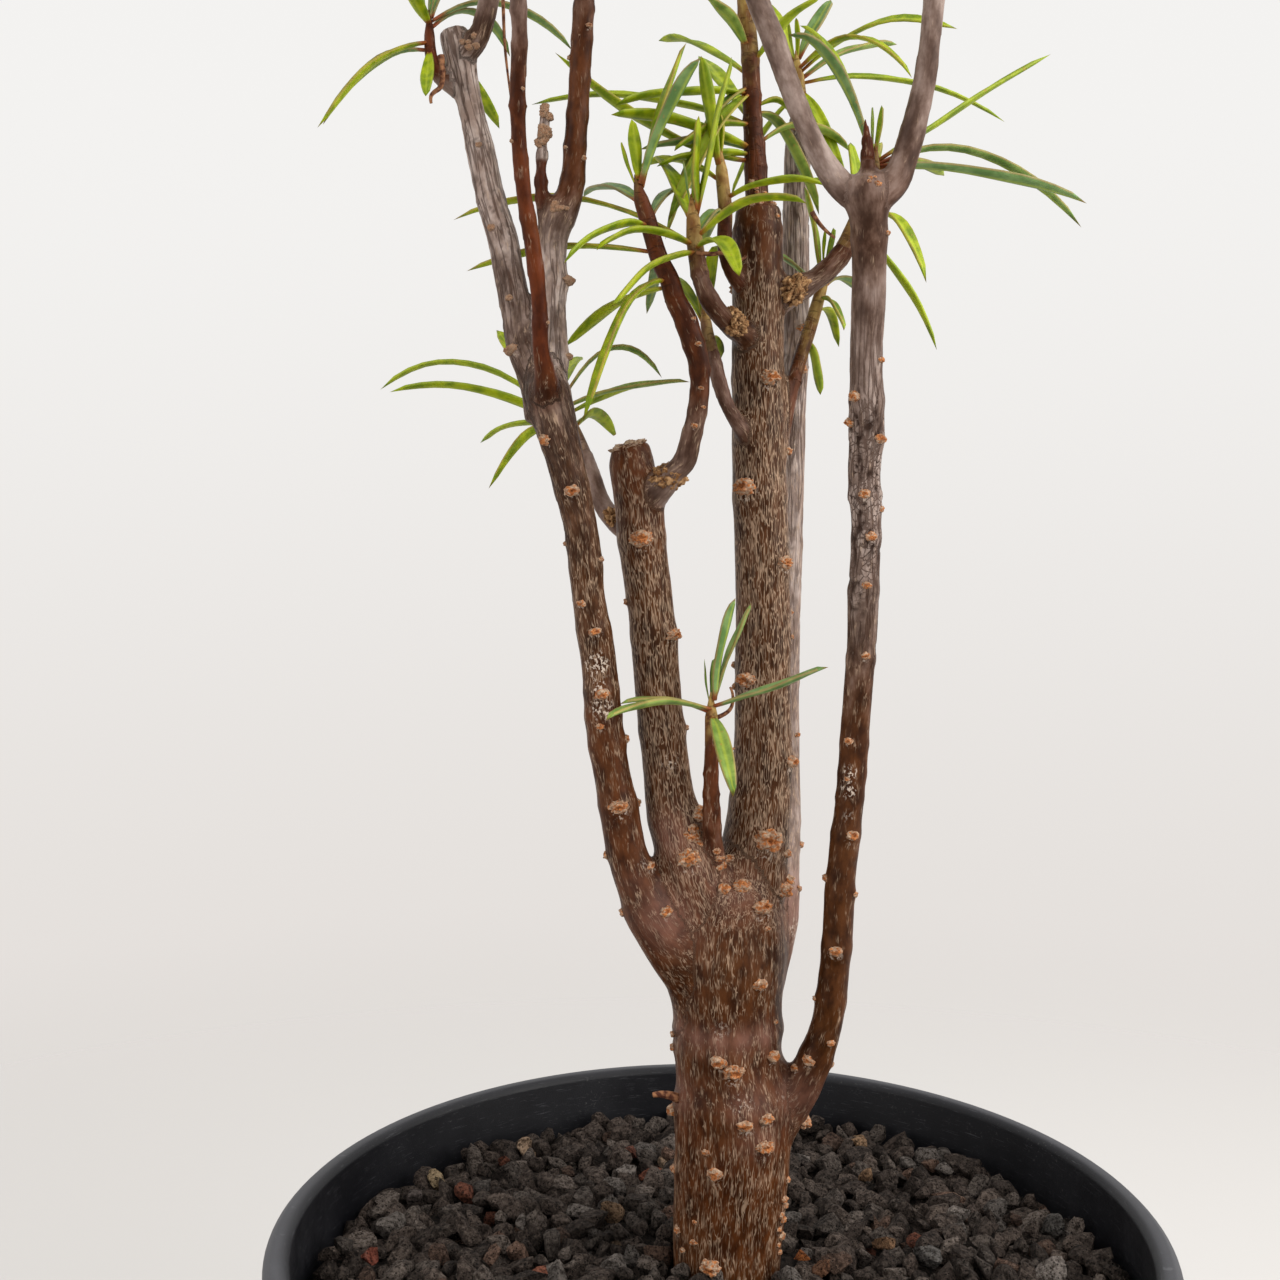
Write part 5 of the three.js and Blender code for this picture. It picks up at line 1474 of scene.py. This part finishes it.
draw = random.Random(STONE_SEED)
heap = []
for level, fine, wide in ((LOW_LEVEL, 1, 2.7), (TOP_LEVEL, 2, 2.35)):
    for place in spots(level, draw):
        near = min(math.hypot(place[0] - p[0][0], place[1] - p[0][1]) for p in PEBBLES)
        if level == TOP_LEVEL and near < PEBBLE_ROOM:
            continue
        half = wide * draw.uniform(0.7, 1.45)
        size = (half * draw.uniform(1.0, 1.45), half * draw.uniform(0.7, 1.0),
                half * draw.uniform(0.6, 0.9))
        heap.append((stone, place, size, any_colour(draw), draw, fine))
for (x, y), size, colour in PEBBLES:
    heap.append((stone, (x, y, TOP_LEVEL + PEBBLE_RISE), size, tint(*colour), draw, 3))
stones = gather("lava_stones", heap, "float_color", "stone")
print(len(heap), "stones with", len(stones.data.polygons), "faces")

# %% Put a dark bed under the stones
BED_TOP, BED_FOOT = 113.2, 108.4
BED_WIDE, BED_NARROW, BED_EDGE = 69.7, 69.4, 69.0
BED_LUMPS = 1.1

bed_mesh = bmesh.new()
bmesh.ops.create_cone(bed_mesh, cap_ends=True, segments=96, radius1=BED_NARROW * MM,
                      radius2=BED_WIDE * MM, depth=(BED_TOP - BED_FOOT) * MM)
bmesh.ops.translate(bed_mesh, verts=bed_mesh.verts, vec=(0, 0, (BED_TOP + BED_FOOT) / 2 * MM))
top = [f for f in bed_mesh.faces if f.normal.z > 0.9]
bmesh.ops.inset_region(bed_mesh, faces=top, thickness=3 * MM)
top = [f for f in bed_mesh.faces if f.normal.z > 0.9 and len(f.verts) > 4]
bmesh.ops.poke(bed_mesh, faces=top)
upper = [e for e in bed_mesh.edges if all(v.co.z > (BED_FOOT + 0.1) * MM for v in e.verts)]
bmesh.ops.subdivide_edges(bed_mesh, edges=upper, cuts=5, use_grid_fill=True)
for vert in bed_mesh.verts:
    if vert.co.z > (BED_FOOT + 1) * MM and vert.co.xy.length < BED_EDGE * MM:
        vert.co.z += BED_LUMPS * noise.noise(vert.co * 330) * MM
bed = from_bmesh("lava_bed", bed_mesh)
print("the bed is", round(bed.dimensions.x / MM, 1), "mm across")

# %% Mix the lava
lava_look = Look("lava", Roughness=0.85, Specular_IOR_Level=0.12)


def mix_lava(look):
    spot = look.places()
    grit = look.noise(spot, 1.1, 5, 0.75)
    pore = look.cells(spot, 1.5)
    base = look.mix(look.band(grit, 0.35, 0.62, 0.95, 0), look.stored("stone", "Color"),
                    tint(96, 88, 82), "MULTIPLY")
    dust = look.band(grit, 0.56, 0.7, 0, 0.35)
    base = look.mix(dust, base, tint(128, 118, 108))
    hole = look.band(pore, 0.14, 0.3, 1, 0)
    base = look.mix(look.times(hole, 0.85), base, tint(12, 10, 9))
    look.give("Base Color", base)
    look.bump(look.add(look.times(grit, 2), look.times(hole, -0.9)), 1.0, 1)


mix_lava(lava_look)
dress(stones, lava_look)
bed_look = Look("lava_dust", Roughness=0.95, Specular_IOR_Level=0.1)
bed_look.crumble(1.1, 4, (12, 10, 9), (44, 38, 34), 0.8)
dress(bed, bed_look)
print("the stones are dressed")

# %% [markdown]
# ## The pot
# The pot is a thin moulded nursery pot, matte black. Half its section is a short outline,
# with the corners rounded by a bevel, and one full turn about the upright axis makes the
# wall, the lip and the foot in one. The drain holes are cut through the floor afterwards.
# Moulded plastic is never quite black: it has a satin grain, thin scratches, and pale dust
# and lime where water has dried near the lip, laid on more thickly towards its top as a painted
# highlight. The outer wall is painted lighter than the wall inside the mouth, as a painted
# reflection.

# %% Spin the pot
POT_OUTLINE = [(0, 3), (47, 3), (47, 0), (51, 0), (52, 1), (72, 109), (74.6, 111), (75.3, 121),
               (76, 123), (75.65, 124), (74.6, 125), (72.6, 125), (71.6, 124), (71, 112),
               (70, 108), (50, 6), (0, 6)]
POT_STEPS = 144

clay = bmesh.new()
corners = [clay.verts.new((r * MM, 0, z * MM)) for r, z in POT_OUTLINE]
for first, second in zip(corners, corners[1:]):
    clay.edges.new((first, second))
bmesh.ops.bevel(clay, geom=corners[1:-1], offset=0.3 * MM, affect="VERTICES", segments=2,
                profile=0.5, material=-1)
bmesh.ops.spin(clay, geom=clay.verts[:] + clay.edges[:], axis=(0, 0, 1), cent=(0, 0, 0),
               dvec=(0, 0, 0), angle=math.tau, steps=POT_STEPS, use_merge=True,
               use_duplicate=False)
bmesh.ops.remove_doubles(clay, verts=clay.verts, dist=1e-6)
bmesh.ops.recalc_face_normals(clay, faces=clay.faces)
for face in clay.faces:
    face.smooth = True
pot = from_bmesh("flower_pot", clay)
print("the pot is", [round(d / MM, 1) for d in pot.dimensions], "mm")

# %% Cut the drain holes
DRAIN_RADIUS, DRAIN_CIRCLE, DRAIN_COUNT = 4.5, 30, 6
DRILL_LENGTH, DRILL_MIDDLE = 8, 4.5
SHARP_FROM = 35

drills = bmesh.new()
for i in range(DRAIN_COUNT + 1):
    turn = math.tau * i / DRAIN_COUNT
    reach = DRAIN_CIRCLE if i < DRAIN_COUNT else 0
    made = bmesh.ops.create_cone(drills, cap_ends=True, segments=32, radius1=DRAIN_RADIUS * MM,
                                 radius2=DRAIN_RADIUS * MM, depth=DRILL_LENGTH * MM)
    bmesh.ops.translate(drills, verts=made["verts"], vec=(
        reach * math.cos(turn) * MM, reach * math.sin(turn) * MM, DRILL_MIDDLE * MM))
drill = from_bmesh("drill", drills)
cut = pot.modifiers.new("drain", "BOOLEAN")
cut.operation, cut.solver, cut.object = "DIFFERENCE", "EXACT", drill
settle(pot)
bpy.data.objects.remove(drill)
sharp = bmesh.new()
sharp.from_mesh(pot.data)
for edge in sharp.edges:
    edge.smooth = edge.calc_face_angle(0) < math.radians(SHARP_FROM)
sharp.to_mesh(pot.data)
sharp.free()
print("the pot has", len(pot.data.polygons), "faces")

# %% Mix the plastic
plastic_look = Look("pot_plastic", Specular_IOR_Level=0.22)
PAINTED_SHEEN_BELOW = 111
INSIDE, OUTSIDE = 71.5, 74


def mix_plastic(look):
    spot = look.places()
    grain = look.noise(spot, 3.0, 3, 0.7)
    cloud = look.noise(spot, 0.06, 4, 0.6)
    height = look.new("SeparateXYZ", spot).outputs[2]
    scratch = look.noise(look.stretched(spot, (0.25, 0.25, 6.0)), detail=3, rough=0.7)
    base = look.shades(cloud, 0.35, 0.7, (11, 11, 15), (19, 19, 23))
    ring = look.new("VectorMath", look.stretched(spot, (1, 1, 0)), operation="LENGTH")
    # painted reflection: the outside is painted lighter, as if lit by the bright room, than the
    # wall inside the mouth, which keeps the near-black base as painted shade
    outside = look.sum(look.band(ring.outputs["Value"], INSIDE, OUTSIDE),
                       look.band(height, PAINTED_SHEEN_BELOW - 3, PAINTED_SHEEN_BELOW, 1, 0))
    painted_sheen = look.shades(cloud, 0.3, 0.7, (54, 54, 58), (72, 72, 76))
    base = look.mix(outside, base, painted_sheen)
    # pale specks of lime and dust, denser towards the lip, which also stand for a painted
    # highlight on the lip
    lime_and_highlight = look.times(look.band(height, 108, 122, 0.15, 1), look.band(cloud, 0.45, 0.7))
    speck = look.band(look.noise(spot, 1.4, 4, 0.75), 0.58, 0.72)
    base = look.mix(look.times(lime_and_highlight, look.times(speck, 0.3)), base, tint(130, 128, 124))
    line = look.band(scratch, 0.62, 0.68, 0, 0.22)
    base = look.mix(line, base, tint(110, 110, 114))
    look.give("Base Color", base)
    look.give("Roughness", look.band(cloud, 0.3, 0.7, 0.42, 0.6))
    look.bump(look.add(grain, look.times(scratch, 0.5)), 0.06, 0.6)


mix_plastic(plastic_look)
dress(pot, plastic_look)
print("the pot is dressed")

# %% [markdown]
# ## Dead leaf stalks
# Here and there a dry leaf stalk or a curl of dead bark hangs on. Each is a thin bent curve
# with a round bevel, thick at its foot and thin at its end.

# %% Hang up the dry bits
DRY_BITS = [
    # points, thickness
    ([(-45.3, -3, 318.9), (-45, -3, 315.8), (-45.4, -3, 313.7), (-46.5, -3, 313.1),
      (-47.2, -3, 312.3), (-47, -3, 311.3)], 0.45),
    ([(-35.7, 2, 329.3), (-35.6, 2, 322.9), (-35, 2, 317.3), (-34.5, 2, 313.2)], 0.27),
    ([(-4.1, -8, 286.5), (-1.8, -10, 285.8), (-0.3, -11, 286.1), (1.4, -12, 284.9),
      (3, -12, 284.5), (3.4, -12, 285.3)], 0.35),
    ([(-0.8, -7, 211.7), (1, -7, 212.4), (2, -7, 213.8), (2, -7, 216), (1.5, -7, 216.8)], 0.35),
    ([(-0.7, -7, 205.4), (0.6, -7, 205.8), (2.3, -6, 206.6)], 0.35),
    ([(16.1, 9, 296.6), (17.5, 9, 293.9), (20.1, 9, 292.2)], 0.4),
    ([(-6.2, 1.5, 144.6), (-8.8, 0, 146.5), (-11, 0, 146)], 0.8),
]


def dry_bit(points, thickness):
    curve = bpy.data.curves.new("dry", "CURVE")
    curve.dimensions, curve.bevel_depth, curve.bevel_resolution = "3D", MM, 3
    curve.use_fill_caps = True
    spline = curve.splines.new("NURBS")
    spline.points.add(len(points) - 1)
    for i, (point, place) in enumerate(zip(spline.points, points)):
        point.co = (*(c * MM for c in place), 1)
        point.radius = thickness * (1.15 - 0.6 * i / (len(points) - 1))
    spline.order_u, spline.use_endpoint_u, spline.resolution_u = 3, True, 6
    thing = bpy.data.objects.new("dry", curve)
    mesh = bpy.data.meshes.new_from_object(thing)
    bpy.data.objects.remove(thing)
    return mesh


bits = bmesh.new()
for points, thickness in DRY_BITS:
    bits.from_mesh(dry_bit(points, thickness))
dry_bits = from_bmesh("dry_stalks", bits)
dry_look = Look("dry_stalk", Roughness=0.8, Specular_IOR_Level=0.25)
dry_look.crumble(1.2, 3, (74, 38, 26), (150, 104, 72), 0.2, 0.5)
dress(dry_bits, dry_look)
print(len(DRY_BITS), "dry bits")

# %% Give the potting mix its finish
soil_look = Look("soil", Roughness=0.95, Specular_IOR_Level=0.1)
soil_look.crumble(0.6, 5, (30, 20, 14), (74, 54, 40), 1.2)
soil = next(o for o in bpy.data.objects if o.name.startswith("potting_mix"))
dress(soil, soil_look)
print(soil.name, "is soil")

# %% [markdown]
# ## Floor, backdrop and light
# The light is soft daylight with the brighter side at the right. A backdrop that stands up
# would block the views from behind, so the backdrop here is the sky: a pale colour that gets
# a little lighter upwards. The floor is a pale disc that fades into that sky, so that no edge
# shows. One large lamp on the right is the window, and a weak one on the left bounces a
# little of its light back.

# %% Lay the floor
FLOOR_RADIUS = 1.3
FADE_FROM, FADE_TO = 0.19, 0.75
FLOOR_DARK, FLOOR_LIGHT = (0.60, 0.585, 0.57, 1), (0.62, 0.605, 0.59, 1)
SKY_LOW, SKY_TOP = (0.775, 0.738, 0.708, 1), (0.90, 0.89, 0.875, 1)

slab = bmesh.new()
bmesh.ops.create_circle(slab, cap_ends=True, segments=128, radius=FLOOR_RADIUS)
bmesh.ops.translate(slab, verts=slab.verts, vec=(0, 0, -0.0002))
floor = from_bmesh("floor", slab)
floor_look = Look("floor", Roughness=0.9, Specular_IOR_Level=0.1)
flat = floor_look.new("TexCoord").outputs["Object"]
reach = floor_look.new("VectorMath", flat, operation="LENGTH").outputs["Value"]
cloudy = floor_look.mix(floor_look.noise(flat, 3, 2), FLOOR_DARK, FLOOR_LIGHT)
floor_look.give("Base Color", cloudy)
floor_look.give("Alpha", floor_look.band(reach, FADE_FROM, FADE_TO, 1, 0))
dress(floor, floor_look)
print("the floor is", 2 * FLOOR_RADIUS, "m wide")

# %% Paint the sky
RISE_FROM, RISE_TO = -0.35, 0.3

world = bpy.data.worlds.new("studio")
world.use_nodes = True
bpy.context.scene.world = world
sky = world.node_tree.nodes
back = sky["Background"]
way = sky.new("ShaderNodeTexCoord")
split = sky.new("ShaderNodeSeparateXYZ")
rise = sky.new("ShaderNodeMapRange")
blend = sky.new("ShaderNodeMix")
blend.data_type = "RGBA"
rise.interpolation_type = "SMOOTHSTEP"
rise.inputs["From Min"].default_value = RISE_FROM
rise.inputs["From Max"].default_value = RISE_TO
blend.inputs[6].default_value, blend.inputs[7].default_value = SKY_LOW, SKY_TOP
wire = world.node_tree.links.new
wire(way.outputs["Generated"], split.inputs[0])
wire(split.outputs[2], rise.inputs[0])
wire(rise.outputs[0], blend.inputs[0])
wire(blend.outputs[2], back.inputs["Color"])
back.inputs["Strength"].default_value = 1.0
print("the sky goes from", SKY_LOW[:3], "to", SKY_TOP[:3])

# %% Hang the lamps
LAMPS = [
    # name, place, size, power, colour
    ("window", (0.62, -0.30, 0.62), 0.95, 9.0, (1.0, 0.985, 0.96)),
    ("bounce", (-0.60, -0.35, 0.40), 0.60, 1.5, (1.0, 0.97, 0.94)),
]
AIM = Vector((0, 0, 0.2))

for name, place, size, power, colour in LAMPS:
    lamp = bpy.data.lights.new(name, "AREA")
    lamp.shape, lamp.size, lamp.energy, lamp.color = "DISK", size, power, colour
    thing = bpy.data.objects.new(name, lamp)
    thing.location = place
    thing.rotation_euler = (AIM - Vector(place)).to_track_quat("-Z", "Y").to_euler()
    bpy.context.collection.objects.link(thing)
bpy.context.scene.view_settings.view_transform = "Standard"
print(len(LAMPS), "lamps")

# %% [markdown]
# ## Tie the pieces to the frame
# Each piece is tied to the body it belongs to and carries its finish in its material slots,
# and the solids of the frame it stands for are hidden. The plant has no moving parts, so there is
# one body.

# %% Tie the pieces to the frame
woody = (bark, scars, collars, stump_cap, dry_bits)
for thing in woody:
    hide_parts("woody_stems")
for name, thing in shoots.items():
    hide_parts("leafy_" + name)
for thing in (stones, bed):
    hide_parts("lava_gravel")
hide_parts("pot")
pieces = [*woody, *shoots.values(), stones, bed, pot]
for thing in pieces:
    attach(thing, "root")
    for face in thing.data.polygons:
        face.use_smooth = thing is not stones
print(len(pieces), "pieces")

# %% The end
print("the scene is built")
